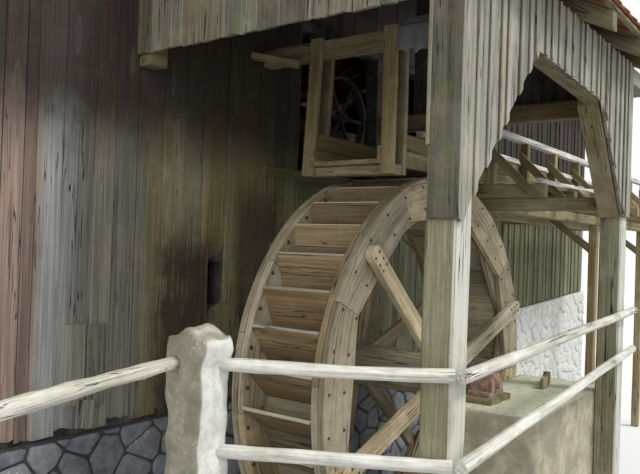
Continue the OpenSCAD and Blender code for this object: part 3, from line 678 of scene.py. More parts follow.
    def prism(self, outline, place, depth, lean, wear=0.004):
        """A board sawn to an outline, with its grain along the direction lean."""
        points = [Vector(p) for p in outline]
        mid, shift = centre(points), self.shift()
        rings, grains = [], []
        for inset, d in ((wear, 0), (0, wear), (0, depth - wear), (wear, depth)):
            ring, grain = [], []
            for p in points:
                q = p + (mid - p).normalized() * inset * 1.4
                ring.append(place(q.x, q.y, d))
                grain.append((q.x * lean[0] + q.y * lean[1] + shift.x, q.y * lean[0] - q.x * lean[1] + shift.y,
                              d + shift.z))
            rings.append(ring)
            grains.append(grain)
        self.skin(rings, grains)

    def stud(self, at, out, radius, height):
        """A nail head, a bolt head or the end of a peg."""
        out = Vector(out).normalized()
        side = out.orthogonal().normalized()
        up = out.cross(side)
        corners = [math.pi * i / 4 for i in range(8)]
        rings = [[Vector(at) + out * d + (side * math.cos(a) + up * math.sin(a)) * r for a in corners]
                 for r, d in ((radius, -0.004), (radius, height * 0.6), (radius * 0.7, height))]
        self.skin(rings, rings)

    def piece(self, name, look, slot, body="mill", replaces=()):
        """Make the object, give it its finish and put it on its body."""
        mesh = bpy.data.meshes.new(name)
        mesh.from_pydata(self.points, [], self.faces)
        mesh.polygons.foreach_set("use_smooth", self.smooth)
        grain = mesh.attributes.new("grain", "FLOAT_VECTOR", "POINT")
        grain.data.foreach_set("vector", [v for g in self.grain for v in g])
        mesh.attributes.new("tone", "FLOAT", "POINT").data.foreach_set("value", self.tone)
        work = bmesh.new()
        work.from_mesh(mesh)
        bmesh.ops.recalc_face_normals(work, faces=work.faces)
        work.to_mesh(mesh)
        work.free()
        mesh.materials.append(finish(look))
        made = put(name, mesh)
        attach(made, body)
        if replaces:
            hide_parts(*replaces)


def dress(look, *nodes):
    """Give CAD nodes a finish."""
    for node in nodes:
        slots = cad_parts[node].data.materials
        slots.clear()
        slots.append(finish(look))


def across_x(x):
    """Where a board sawn to an outline in y and z lies, with its thickness from x on."""
    return lambda u, v, d: Vector((x + d, u, v))


def across_y(y):
    """Where a board sawn to an outline in x and z lies, with its thickness from y on."""
    return lambda u, v, d: Vector((u, y + d, v))


def on_front(y, z, out):
    """A point in front of the wheel wall."""
    return Vector((out, y, z))


def span(low, high, torn=0.0):
    """The same foot and head for every board, and how far the foot is torn."""
    return lambda a, b: [(low, high, (torn, 0))]


def level(z):
    """The same height all along."""
    return lambda at: z


def finish(key):
    """One of the mill's finishes, made when it is first asked for."""
    name = "mill_" + key
    if name in bpy.data.materials:
        return bpy.data.materials[name]
    c = bpy.context.scene.watermill_colours
    pick = {n: tuple(getattr(c, n)) for n in c.__annotations__}
    moss, lime, rubble, mortar, concrete, granite = (
        pick[n] for n in ("moss", "limewash", "rubble", "mortar", "concrete", "granite"))

    def far_wash(f, world, now, middle):
        """Lime on the far end of the plinth."""
        return f.mix(f.ramp(f.part(world, 1) + middle * 0.8, 4.4, 5.6) * 0.9, now,
                     f.mix(f.ramp(middle, 0.35, 0.6), shade(lime, 0.75), lime))

    def wood(base, **how):
        return lambda: timber(name, base, moss, **how)

    def stone(base, other, **how):
        return lambda: masonry(name, base, other, **how)

    makers = {
        "wall_boards": wood(pick["wall_board"], green=0.1, checks=1.3, stain=wall_stain(pick)),
        "brown_boards": wood(pick["wall_brown"], green=0.08),
        "board_shadow": wood(shade(pick["wall_brown"], 0.05), green=0.0, own=False),
        "apron_boards": wood(pick["apron"], green=0.3, checks=1.3, sun=0.35, vary=1.2),
        "post_timber": wood(pick["post"], green=0.22, checks=1.6, sun=0.85, vary=0.5),
        "beam_timber": wood(pick["beam"], green=0.35, checks=1.2),
        # Rafters: the beams' timber painted darker, as painted shade under the roof
        "rafter_timber": wood(shade(pick["beam"], 0.7), green=0.1, checks=1.2),
        "wheel_timber": wood(pick["wheel"], green=0.12, checks=1.5, bleach=0.55, vary=1.2),
        "bucket_timber": wood(pick["bucket"], green=0.06, checks=1.2, bleach=0.2),
        "lip_timber": wood(blend(pick["wheel"], pick["rail"], 0.55), green=0.05, vary=0.6),
        "rail_timber": wood(pick["rail"], green=0.22, checks=1.3, bleach=0.6, vary=0.3),
        "rusty_iron": lambda: rusty(name, pick["rust"]),
        "pulley_iron": lambda: rusty(name, pick["pulley"]),
        "rubble_stone": stone(rubble, shade(rubble, 1.45), wash=far_wash, vary=1.3),
        "mortar": stone(mortar, shade(mortar, 0.6), wash=far_wash, lichen=0.1),
        "concrete": stone(concrete, shade(concrete, 0.55), damp_z=0.32, lichen=0.3, top=0.7),
        "fence_stone": stone(granite, blend(granite, moss, 0.6), damp_z=0.4, lichen=0.8, grit=1.8, sun=0.8),
        "torn_cloth": lambda: cloth(name, pick["cloth"], shade(pick["beam"], 1.1)),
        "clay_tiles": lambda: clay(name, pick["tile"], moss),
    }
    return makers[key]()


def joints(rand, start, stop, width):
    """Uneven places of board edges from start to stop."""
    count = max(1, round((stop - start) / width))
    step = (stop - start) / count
    inner = [start + step * (i + rand.uniform(-0.22, 0.22)) for i in range(1, count)]
    return [start, *inner, stop]


class WATERMILL_OT_plinth(Operator):
    """Lay the rubble stones of the plinth on its mortar"""
    bl_idname = "watermill.plinth"
    bl_label = "Plinth"

    def half(self, outline, point, away):
        """The part of an outline on the near side of a line through a point, or nothing where it is used up."""
        if len(outline) < 3:
            return []
        point, away, kept = Vector(point), Vector(away), []
        for p, q in zip(outline, outline[1:] + outline[:1]):
            a, b = (p - point).dot(away), (q - point).dot(away)
            if a <= 0:
                kept.append(p)
            if (a < 0 < b) or (b < 0 < a):
                kept.append(p + (q - p) * (a / (a - b)))
        return kept

    def rubble(self, shape, place, u0, u1, top, sizes):
        """Irregular flat stones between two ends and below a top line, each cut halfway to its neighbours."""
        rand = shape.rand
        wide, tall = sizes.stone_length, sizes.stone_height
        rows, columns = round(max(top(u0), top(u1)) / tall) + 1, round((u1 - u0) / wide)
        seeds = {}
        for row in range(-1, rows + 1):
            for k in range(-1, columns + 2):
                seeds[row, k] = Vector((u0 + (k + rand.uniform(-0.36, 0.36) + 0.5 * (row % 2)) * wide,
                                        (row + 0.5 + rand.uniform(-0.34, 0.34)) * tall))
        for (row, k), seed in seeds.items():
            outline = [seed + Vector(c) for c in ((-1, -1), (1, -1), (1, 1), (-1, 1))]
            for i in range(-2, 3):
                for j in range(-2, 3):
                    other = seeds.get((row + i, k + j))
                    if other is not None and (i or j):
                        outline = self.half(outline, (seed + other) / 2, other - seed)
            a, b = max(u0, min(p.x for p in outline)), min(u1, max(p.x for p in outline))
            if b - a < 0.04:
                continue
            for point, away in (((a, top(a) - 0.004), (top(a) - top(b), b - a)), ((0, 0.002), (0, -1)),
                                ((u0, 0), (-1, 0)), ((u1, 0), (1, 0))):
                outline = self.half(outline, point, away)
            if len(outline) < 3:
                continue
            mid = centre(outline)
            reach = sum((p - mid).length for p in outline) / len(outline)
            if reach < 0.035:
                continue
            share = 1 - rand.uniform(0.006, 0.014) / reach
            edge = []
            for p, q in zip(outline, outline[1:] + outline[:1]):
                if (q - p).length < 0.01:
                    continue
                for t in (0.12, 0.5, 0.88):
                    at = p + (q - p) * t
                    edge.append(mid + (at - mid) * (share - rand.uniform(0, 0.05)))
            shape.stone(place, edge, rand.uniform(0.008, 0.03))

    def execute(self, context):
        sizes = context.scene.watermill_sizes
        front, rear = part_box("plinth_front"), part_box("plinth_rear")
        ends = rear[0].x, front[1].x
        jobs = (("plinth_front_stones", 11, lambda u, v, w: Vector((front[1].x + w, u, v)), HOUSE_Y0, HOUSE_Y1,
                 plinth_top),
                ("plinth_rear_stones", 12, lambda u, v, w: Vector((rear[0].x - w, u, v)), HOUSE_Y0, HOUSE_Y1,
                 plinth_top),
                ("plinth_near_stones", 13, lambda u, v, w: Vector((u, HOUSE_Y0 - w, v)), *ends, level(PLINTH_Z)),
                ("plinth_far_stones", 14, lambda u, v, w: Vector((u, HOUSE_Y1 + w, v)), *ends, level(FAR_PLINTH_Z)))
        for name, seed, place, u0, u1, height in jobs:
            shape = Shape(seed)
            self.rubble(shape, place, u0, u1, height, sizes)
            shape.piece(name, "rubble_stone", "rubble_stone")
        dress("mortar", "plinth_front", "plinth_rear", "end_plinths")
        return {"FINISHED"}


class WATERMILL_OT_walls(Operator):
    """Nail the boards and battens on the mill's walls"""
    bl_idname = "watermill.walls"
    bl_label = "Walls"

    def boards(self, shape, edges, spans, place, sizes, battens=False):
        """Upright boards between edges, each over the spans of height that its place gives."""
        rand, side = shape.rand, place(1, 0, 0) - place(0, 0, 0)
        thick, shortest_board, shortest_batten = 0.022, 0.05, 0.3
        for a, b in zip(edges, edges[1:]):
            mid, width = (a + b) / 2, b - a - sizes.board_gap * rand.uniform(0.3, 1.2)
            proud = rand.uniform(-0.004, 0.005) + 0.002
            for low, high, torn in spans(a, b):
                if high - low >= shortest_board:
                    shape.plank(place(mid, low, proud), place(mid, high, proud), side, width, thick, wear=0.003,
                                rough=0.003, cells=5 if any(torn) else 1, ragged=torn,
                                bow=rand.uniform(-0.003, 0.003))
        for a in edges[1:-1] if battens else ():
            for low, high, torn in spans(a, a):
                if high - low > shortest_batten:
                    shape.plank(place(a, low + rand.uniform(-0.01, 0.03), thick), place(a, high, thick), side,
                                sizes.batten_width * rand.uniform(0.8, 1.2), 0.02, rough=0.003, ragged=(0.03, 0))

    def execute(self, context):
        sizes = context.scene.watermill_sizes
        wide = sizes.board_width
        shape = Shape(21)
        rand = shape.rand
        top, foot, sill = WALL_TOP - 0.01, PLINTH_Z + SEAT, TROUGH[0].z + 0.05

        def near_spans(a, b):
            if abs(a - HOLE_EDGE) < 0.01:
                return [(PLINTH_Z, HOLE_FOOT, (0.04, 0.2)), (HOLE_HEAD, top, (0.26, 0))]
            return [(foot, top, (0.02 + 0.09 * abs(math.sin(a * 7)), 0))]

        def far_foot(a):
            return plinth_top(max(a, HATCH_Y1)) - 0.01

        near = joints(rand, HOUSE_Y0, SEEN_EDGES[0], wide)[:-1] + SEEN_EDGES
        self.boards(shape, near, near_spans, on_front, sizes)
        self.boards(shape, AXLE_EDGES, span(AXLE_Z + AXLE_EDGES[-1], sill), on_front, sizes)
        self.boards(shape, joints(rand, AXLE_EDGES[-1], HATCH_Y1, wide), span(foot, sill, 0.03), on_front, sizes)
        hatch_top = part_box("front_wall_above_hatch")[1].z - OVER_HATCH
        self.boards(shape, joints(rand, HATCH_Y0, HATCH_Y1, wide), span(hatch_top + 0.01, top), on_front, sizes)
        self.boards(shape, joints(rand, HATCH_Y1, HOUSE_Y1, wide), lambda a, b: [(far_foot(a), top, (0.08, 0))],
                    on_front, sizes, True)
        # The sill board under the hatch
        shape.plank((0.028, -0.8, sill - 0.055), (0.028, HATCH_Y1 + 0.1, sill - 0.05), AXIS_Z, 0.095, 0.03)
        for low, high, width, thick, torn in PATCHES:
            shape.plank(low, high, AXIS_Y, width, thick, ragged=torn, cells=4)
        shape.piece("front_wall_boards", "wall_boards", "wall_boards")

        rear = Shape(22)
        self.boards(rear, joints(rear.rand, HOUSE_Y0, HOUSE_Y1, wide),
                    lambda a, b: [(foot if b < HATCH_Y1 else far_foot(a), top, (0.03, 0))],
                    lambda y, z, out: Vector((HOUSE_BACK - out, y, z)), sizes, True)
        rear.piece("rear_wall_boards", "brown_boards", "wall_boards")
        ends = Shape(23)
        for y, sign, low in ((HOUSE_Y0, -1, PLINTH_Z), (HOUSE_Y1, 1, FAR_PLINTH_Z)):
            self.boards(ends, joints(ends.rand, HOUSE_BACK, 0, wide),
                        lambda a, b: [(low + SEAT, min(roof_z(a), roof_z(b)) - 0.01, (0.03, 0))],
                        lambda x, z, out: Vector((x, y + sign * out, z)), sizes, True)
        ends.piece("gable_boards", "brown_boards", "wall_boards")
        dress("board_shadow", "front_wall_near", "front_wall_far", "front_wall_below_hatch",
              "front_wall_above_hatch", "rear_wall", "gable_walls")
        return {"FINISHED"}


class WATERMILL_OT_roof(Operator):
    """Set the rafters, the tile battens and the tiles"""
    bl_idname = "watermill.roof"
    bl_label = "Roof"

    def slope(self, shape, battens, x0, x1, y0, y1, mirrored, sizes):
        """Battens and overlapping courses of tiles from x1 at the eaves up to x0."""
        rand, bed = shape.rand, 0.152
        run = math.hypot(1, RISE)
        length = (x1 - x0) * run
        count = max(1, round(length / sizes.tile_gauge))
        gauge = length / count
        columns = max(1, round((y1 - y0) / sizes.tile_width))
        wide = (y1 - y0) / columns

        def point(s, y, up):
            x = x1 - s / run
            return Vector((across_ridge(x) if mirrored else x, y, roof_z(x) + bed + up))

        for row in range(count):
            s = row * gauge
            battens.plank(point(s + 0.08, y0 + 0.02, 0.014), point(s + 0.08, y1 - 0.02, 0.014), AXIS_Z, 0.028,
                          0.045, wear=0.003, rough=0.002)
            for i in range(columns):
                y = y0 + wide * (i + 0.5)
                tilt = rand.uniform(-0.003, 0.004)
                end = min(s + gauge + 0.07, length)
                shape.plank(point(s + rand.uniform(0.006, 0.016), y, 0.066 + tilt), point(end, y, 0.038 + tilt),
                            AXIS_Y, wide - rand.uniform(0.003, 0.009), 0.016, rough=0.002, cells=2,
                            camber=0.006 if mirrored else -0.006, steps=1,
                            ragged=(lambda u: 0.03 * (2 * u / wide) ** 2, 0))

    def execute(self, context):
        sizes = context.scene.watermill_sizes
        front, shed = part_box("front_roof_tiles"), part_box("shed_roof_tiles")
        eave, y0, y1 = front[1].x, front[0].y, front[1].y
        battens = Shape(31)
        for name, seed, x0, x1, a, b, mirrored, node in (
                ("front_tiles", 32, RIDGE_X, eave, y0, y1, False, "front_roof_tiles"),
                ("rear_tiles", 33, RIDGE_X, eave, y0, y1, True, "rear_roof_tiles"),
                ("shed_tiles", 34, eave, shed[1].x, shed[0].y, shed[1].y, False, "shed_roof_tiles")):
            shape = Shape(seed)
            self.slope(shape, battens, x0, x1, a, b, mirrored, sizes)
            shape.piece(name, "clay_tiles", "clay_tiles", replaces=(node,))
        battens.piece("tile_battens", "beam_timber", "brown_timber")
        rafters = Shape(35)
        for lo, hi in solids("roof_rafters"):
            y, wide, deep = (lo.y + hi.y) / 2, hi.y - lo.y, 0.15
            for foot, mirrored in ((hi.x, False), (across_ridge(lo.x), True)):
                def place(s, u, v):
                    x = RIDGE_X + s
                    return Vector((across_ridge(x) if mirrored else x, y + u, roof_z(x) + deep / 2 + v))

                rafters.sweep(place, foot - RIDGE_X - 0.001, wide, deep, wear=0.012, rough=0.005, cells=2)
        rafters.piece("rafters", "rafter_timber", "brown_timber", replaces=("roof_rafters",))
        caps = Shape(36)
        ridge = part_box("ridge_tiles")
        half = (ridge[1].x - ridge[0].x) / 2
        peak = ridge[1].z - 0.008
        cap, gauge = 0.38, 0.34
        y = ridge[0].y
        while y < ridge[1].y - 0.05:
            end = min(y + cap, ridge[1].y)

            def place(s, u, v):
                across = u / half
                drop = half * RISE * (math.sqrt(across * across + 0.02) - 0.14)
                return Vector((RIDGE_X + u, y + s, peak - drop - 0.012 + v + 0.008 * (1 - s / (end - y))))

            caps.sweep(place, end - y, half * 2 - 0.004, 0.016, wear=0.004, rough=0.002, cells=10, steps=2)
            y += gauge
        caps.piece("ridge_caps", "clay_tiles", "clay_tiles", replaces=("ridge_tiles",))
        return {"FINISHED"}


class WATERMILL_OT_shed(Operator):
    """Frame the wheel shed and hang its apron boards"""
    bl_idname = "watermill.shed"
    bl_label = "Wheel shed"

    def apron(self, shape, edges, low, high, place, side, thick, battens=0.0):
        """Upright boards from a lower line up to the rafters, with battens over the joints where they are cut below."""
        rand = shape.rand

        def upright(at, out, width, deep, uneven, **how):
            foot, head = low(at), high(at)
            shape.plank(place(at, foot, out), place(at, head, out), side, width, deep, rough=0.002, **how,
                        ragged=((lambda u: low(at + u) - foot + uneven(u)) if battens else 0.035,
                                lambda u: head - high(at + u)))

        for a, b in zip(edges, edges[1:]):
            upright((a + b) / 2, 0, b - a - rand.uniform(0.002, 0.006), thick, lambda u: 0.004 * math.sin(u * 90),
                    wear=0.004, cells=4)
            if battens and a != edges[0]:
                upright(a, battens, rand.uniform(0.035, 0.06), 0.018, lambda u: 0.006 * math.sin(a * 77), wear=0.005,
                        cells=2)

    def execute(self, context):
        rand = random.Random(40)
        for name, node, seed in (("near_post_timber", "near_post", 41), ("far_post_timber", "far_post", 42)):
            post = Shape(seed)
            post.beam(*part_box(node), wear=0.014, rough=0.006, cells=3)
            post.piece(name, "post_timber", "green_timber", replaces=(node,))
        plate = Shape(43)
        lo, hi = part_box("eave_plate")
        deep = hi.z - lo.z

        def along_plate(s, u, v):
            x = (lo.x + hi.x) / 2 + u
            return Vector((x, lo.y + s, lo.z + (v / deep + 0.5) * (roof_z(x) - lo.z)))

        plate.sweep(along_plate, hi.y - lo.y, hi.x - lo.x, deep, wear=0.016, rough=0.006, cells=2)
        plate.piece("eave_plate_timber", "post_timber", "green_timber", replaces=("eave_plate",))
        ties = Shape(44)
        # The near tie is drawn less deep than its solid, with a short corbel below it
        tie, corbel, corbel_long = 0.11, 0.262, 0.15
        for node in ("near_cross_beams", "far_cross_beams"):
            for lo, hi in solids(node):
                if node == "near_cross_beams" and lo.z < NEAR_POST[1].z - 0.35:
                    ties.beam((lo.x, lo.y, hi.z - tie), hi, wear=0.012, rough=0.005, cells=2)
                    ties.beam((lo.x, lo.y, hi.z - corbel), (lo.x + corbel_long, hi.y, hi.z - tie - 0.001), wear=0.01,
                              rough=0.004, cells=2)
                else:
                    ties.beam(lo, hi, **HEWN)
        ties.piece("tie_beams", "beam_timber", "brown_timber", replaces=("near_cross_beams", "far_cross_beams"))

        def under_roof(x):
            return roof_z(x) - 0.002

        boards = Shape(45)
        post_x0, post_x1, y = NEAR_POST[0].x, NEAR_POST[1].x, NEAR_POST[0].y - 0.014
        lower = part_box("near_apron")[0].z
        for edges, low, thick in ((joints(rand, 0.0, post_x0, 0.19), APRON_Z, 0.026),
                                  ((post_x0, post_x0 + 0.028), lower + 0.42, 0.028),
                                  ((post_x0 + 0.028, post_x1 + 0.028), lower, 0.028)):
            self.apron(boards, edges, level(low), under_roof, lambda x, z, out: Vector((x, y, z)), AXIS_X, thick)
        boards.piece("near_apron_boards", "apron_boards", "grey_boards", replaces=("near_apron",))

        far_boards = Shape(46)
        lo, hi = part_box("far_apron")
        middle = (lo.y + hi.y) / 2
        for edges, high in ((joints(rand, lo.x, post_x0, 0.21), under_roof),
                            ((post_x0, post_x1), level(NEAR_POST[1].z - 0.002))):
            self.apron(far_boards, edges, level(lo.z), high, lambda x, z, out: Vector((x, middle, z)), AXIS_X,
                       hi.y - lo.y)
        far_boards.piece("far_apron_boards", "brown_boards", "grey_boards", replaces=("far_apron",))

        side = Shape(47)
        x1 = post_x1
        rail_y0, rail_y1, rail_z0, rail_z1, deep = -1.195, 0.34, 4.45, 4.371, 0.125
        foot_y, foot_z = FAR_POST[0].y, 3.44
        line = [(NEAR_POST[0].y, 3.25), (-2.2401, 3.25), (-2.24, 3.325), (rail_y0, rail_z0 + 0.015),
                (rail_y1, rail_z1 + 0.015), (foot_y - 0.06, foot_z + 0.015), (foot_y, 3.45), (FAR_POST[1].y, 3.45)]

        def slant(y):
            for (ya, za), (yb, zb) in zip(line, line[1:]):
                if y <= yb:
                    return za + (zb - za) * (y - ya) / (yb - ya)
            return line[-1][1]

        self.apron(side, joints(rand, NEAR_POST[0].y, FAR_POST[1].y, 0.15), slant, level(roof_z(x1 + 0.028) - 0.002),
                   lambda y, z, out: Vector((x1 + 0.014 + out, y, z)), AXIS_Y, 0.026, battens=0.022)
        side.piece("side_apron_boards", "apron_boards", "grey_boards", replaces=("side_apron",))

        brace = Shape(48)
        x0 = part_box("knee_braces")[0].x
        outline = [(foot_y, foot_z), (foot_y - 0.06, foot_z), (rail_y1, rail_z1), (rail_y1, rail_z1 + deep),
                   (rail_y1 + 0.084, rail_z1 + deep), (foot_y, foot_z + 0.155)]
        lean = Vector((foot_y - rail_y1, foot_z - rail_z1)).normalized()
        brace.prism(outline, across_x(x0), x1 - 0.01 - x0, lean, wear=0.01)
        rail_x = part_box("apron_rail")[0].x
        outline = [(rail_y0, rail_z0), (rail_y1, rail_z1), (rail_y1, rail_z1 + deep), (rail_y0, rail_z0 + deep)]
        brace.prism(outline, across_x(rail_x), x1 - 0.002 - rail_x, (1, 0), wear=0.01)
        for y in (-0.743, -0.568, -0.316, -0.12, 0.14):
            z = rail_z0 + (rail_z1 - rail_z0) * (y - rail_y0) / (rail_y1 - rail_y0)
            brace.stud((rail_x, y, z + 0.045), (-1, -0.2, 0.1), 0.014, 0.05)
        brace.piece("brace_and_rail", "beam_timber", "green_timber", replaces=("knee_braces", "apron_rail"))
        return {"FINISHED"}


class WATERMILL_OT_flume(Operator):
    """Build the trough, its hanger over the wheel and its frames"""
    bl_idname = "watermill.flume"
    bl_label = "Flume"

    def execute(self, context):
        lo, hi = TROUGH
        wood = Shape(51)
        # The near end is cut back to the hanging frame
        lo = Vector((lo.x, lo.y + 0.45, lo.z))
        t, half, longest, shorter = 0.04, (hi.z - lo.z) / 2, 3.3, 0.7
        wood.plank(((lo.x + hi.x) / 2, lo.y, lo.z + t / 2), ((lo.x + hi.x) / 2, hi.y, lo.z + t / 2), AXIS_X,
                   hi.x - lo.x - 0.002, t, wear=0.008, rough=0.006, cells=8, ragged=(0.05, 0))
        for x in (lo.x + t / 2, hi.x - t / 2):
            for k in range(2):
                y = lo.y
                while y < hi.y - 0.1:
                    end = min(y + longest - shorter * k, hi.y)
                    start = y + (0.09 * k if y == lo.y else 0)
                    z = lo.z + half * (k + 0.5)
                    wood.plank((x, start, z), (x, end - 0.004, z), AXIS_Z, half - 0.004, t - 0.006 * k,
                               wear=0.006, rough=0.003, ragged=(0.02, 0))
                    y = end
        wood.piece("trough_planks", "beam_timber", "brown_timber", replaces=("flume_trough",))

        hang = Shape(52)
        lo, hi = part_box("flume_hanger")
        # Hanging planks, of which the two nearer the wall lean, and a sill between their feet
        wide, thick, sill, lean = 0.125, 0.05, 0.09, 0.06
        for x, slip in ((lo.x, lean), (hi.x - wide, 0.0)):
            for y in (lo.y + thick / 2, hi.y - thick / 2):
                hang.plank((x + wide / 2, y, lo.z + 0.002), (x + wide / 2 + slip, y, hi.z - 0.004), AXIS_X, wide,
                           thick, wear=0.007, rough=0.004, cells=3, ragged=(0.004, 0.012), bow=0.004)
                for k in range(4):
                    hang.stud((x + 0.02 + hang.rand.uniform(0, wide - 0.04), lo.y, lo.z + 0.015 + 0.02 * k),
                              (0, -1, 0), 0.006, 0.004)
        hang.beam((lo.x, lo.y + thick, lo.z), (hi.x, hi.y - thick, lo.z + sill), wear=0.014, rough=0.009, cells=4,
                  ragged=(0.015, 0.02))
        # A thin stay batten up to the apron
        hang.plank((0.002, -1.012, 4.843), (0.5, -0.9, 4.718), AXIS_Z, 0.07, 0.028, wear=0.004, cells=2, steps=4)
        hang.piece("hanger_planks", "beam_timber", "brown_timber", replaces=("flume_hanger",))

        frames = Shape(53)
        rails = solids("flume_rails")
        top = rails[0][0].z
        trough_lo, trough_hi = TROUGH
        for lo, hi in solids("flume_frames"):
            y0, y1 = lo.y + 0.04, hi.y
            frames.beam((lo.x, y0, lo.z), (hi.x, y1, trough_lo.z), **SQUARED, ragged=(0.02, 0.02))
            for a, b in ((rails[0][0].x, rails[0][1].x), (rails[1][0].x, rails[1][1].x)):
                frames.beam((a, y0, trough_lo.z), (b, y1, top), wear=0.008, rough=0.004, cells=2)
            head, foot, deep = top - 0.08, hi.x - 0.015, 0.125
            outline = [(trough_hi.x, head - deep), (trough_hi.x, head), (foot, lo.z), (foot - deep, lo.z)]
            frames.prism(outline, across_y(lo.y), 0.04, (0.707, -0.707), wear=0.005)
        frames.piece("flume_frame_timber", "beam_timber", "brown_timber", replaces=("flume_frames",))
        top_rails = Shape(54)
        for lo, hi in rails:
            top_rails.beam(lo, hi, **SQUARED)
        # A pole on the struts' feet
        top_rails.pole((1.95, 1.26, 3.83), (1.95, 3.39, 3.86), 0.026, 0.02, rough=0.008, bend=0.02)
        top_rails.piece("flume_rail_timber", "rail_timber", "brown_timber", replaces=("flume_rails",))

        stands = Shape(55)
        lo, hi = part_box("flume_trestles")
        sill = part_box("flume_frames")[0].z
        deep, square = 0.13, 0.12
        inner_x = rails[0][0].x
        for x in (inner_x, hi.x - square):
            stands.beam((x, lo.y, sill - deep), (x + square, hi.y, sill), **HEWN)
        centres = [(a.y + 0.04 + b.y) / 2 for a, b in solids("flume_frames")]
        for y in (centres[4], centres[7]):
            stands.beam((hi.x - square, y - square / 2, 0), (hi.x, y + square / 2, sill - deep), **HEWN)
            stands.beam((0, y - square / 2, sill - deep), (inner_x, y + square / 2, sill), wear=0.01, rough=0.005)
            x, foot = hi.x - square, sill - 0.42
            outline = [(x, foot - square), (x, foot), (inner_x + 2 * square, sill), (inner_x + square, sill)]
            stands.prism(outline, across_y(y - square / 2), square, (-0.8, 0.6), wear=0.006)
        stands.piece("trestle_timber", "beam_timber", "brown_timber", replaces=("flume_trestles",))
        return {"FINISHED"}


class WATERMILL_OT_sheet(Operator):
    """Throw the torn sheet over the beam that carries the flume's hanger"""
    bl_idname = "watermill.sheet"
    bl_label = "Torn sheet"

    def execute(self, context):
        lo, hi = solids("near_cross_beams")[-1]
        x0, width, columns, coils = 1.5, 0.34, 20, 36
        # From the rolled end behind the edge, over the beam's top and down in front of it
        mid, path = (lo.y + hi.y) / 2 + 0.01, []
        for k in range(coils + 1):
            turn = math.radians(90 + 15 * k)
            r = 0.014 + 0.027 * k / coils
            path.append((mid - r * math.cos(turn), hi.z + 0.047 - r * math.sin(turn)))
        path += [(mid - 0.03, hi.z + 0.005), (lo.y + 0.002, hi.z + 0.005), (lo.y - 0.008, hi.z - 0.004)]
        path += [(lo.y - 0.012, hi.z - 0.02 - 0.021 * k) for k in range(1, 14)]
        steps = [math.dist(a, b) for a, b in zip(path, path[1:])]
        length = sum(steps)
        tear_from = Vector((4.2, 9.1, 0))
        points, grain, area = [], [], 0.0
        for i in range(columns + 1):
            u = i / columns
            tear = 0.03 + 0.14 * abs(noise.noise(tear_from + Vector((u * 3.7, 0, 0)))) + 0.06 * abs(math.sin(u * 6))
            reach = 1 - tear
            area += (1 if 0 < i < columns else 0.5) * reach * length * width / columns
            for k in range(len(path)):
                at = length * reach * k / (len(path) - 1)
                n = 0
                while n < len(steps) - 1 and at > steps[n]:
                    at -= steps[n]
                    n += 1
                share = at / steps[n]
                y, z = (path[n][j] + (path[n + 1][j] - path[n][j]) * share for j in (0, 1))
                hang = max(0.0, hi.z - z)
                fold = 0.06 * hang * (1 + math.sin(u * 13 + hang * 6)) * 1.3
                points.append((x0 + width * u + 0.1 * hang * math.sin(u * 5), y - fold, z))
                grain.append((width * u, length * reach * k / (len(path) - 1), 0))
        rows = len(path)
        mesh = bpy.data.meshes.new("torn_sheet")
        mesh.from_pydata(points, [], [(i * rows + k, i * rows + k + 1, (i + 1) * rows + k + 1, (i + 1) * rows + k)
                                      for i in range(columns) for k in range(rows - 1)])
        mesh.attributes.new("grain", "FLOAT_VECTOR", "POINT").data.foreach_set("vector", [v for g in grain for v in g])
        mesh.polygons.foreach_set("use_smooth", [True] * len(mesh.polygons))
        mesh.materials.append(finish("torn_cloth"))
        made = put("torn_sheet", mesh)
        thick = made.modifiers.new("thickness", "SOLIDIFY")
        thick.thickness = 0.002
        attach(made, "mill")
        return {"FINISHED"}


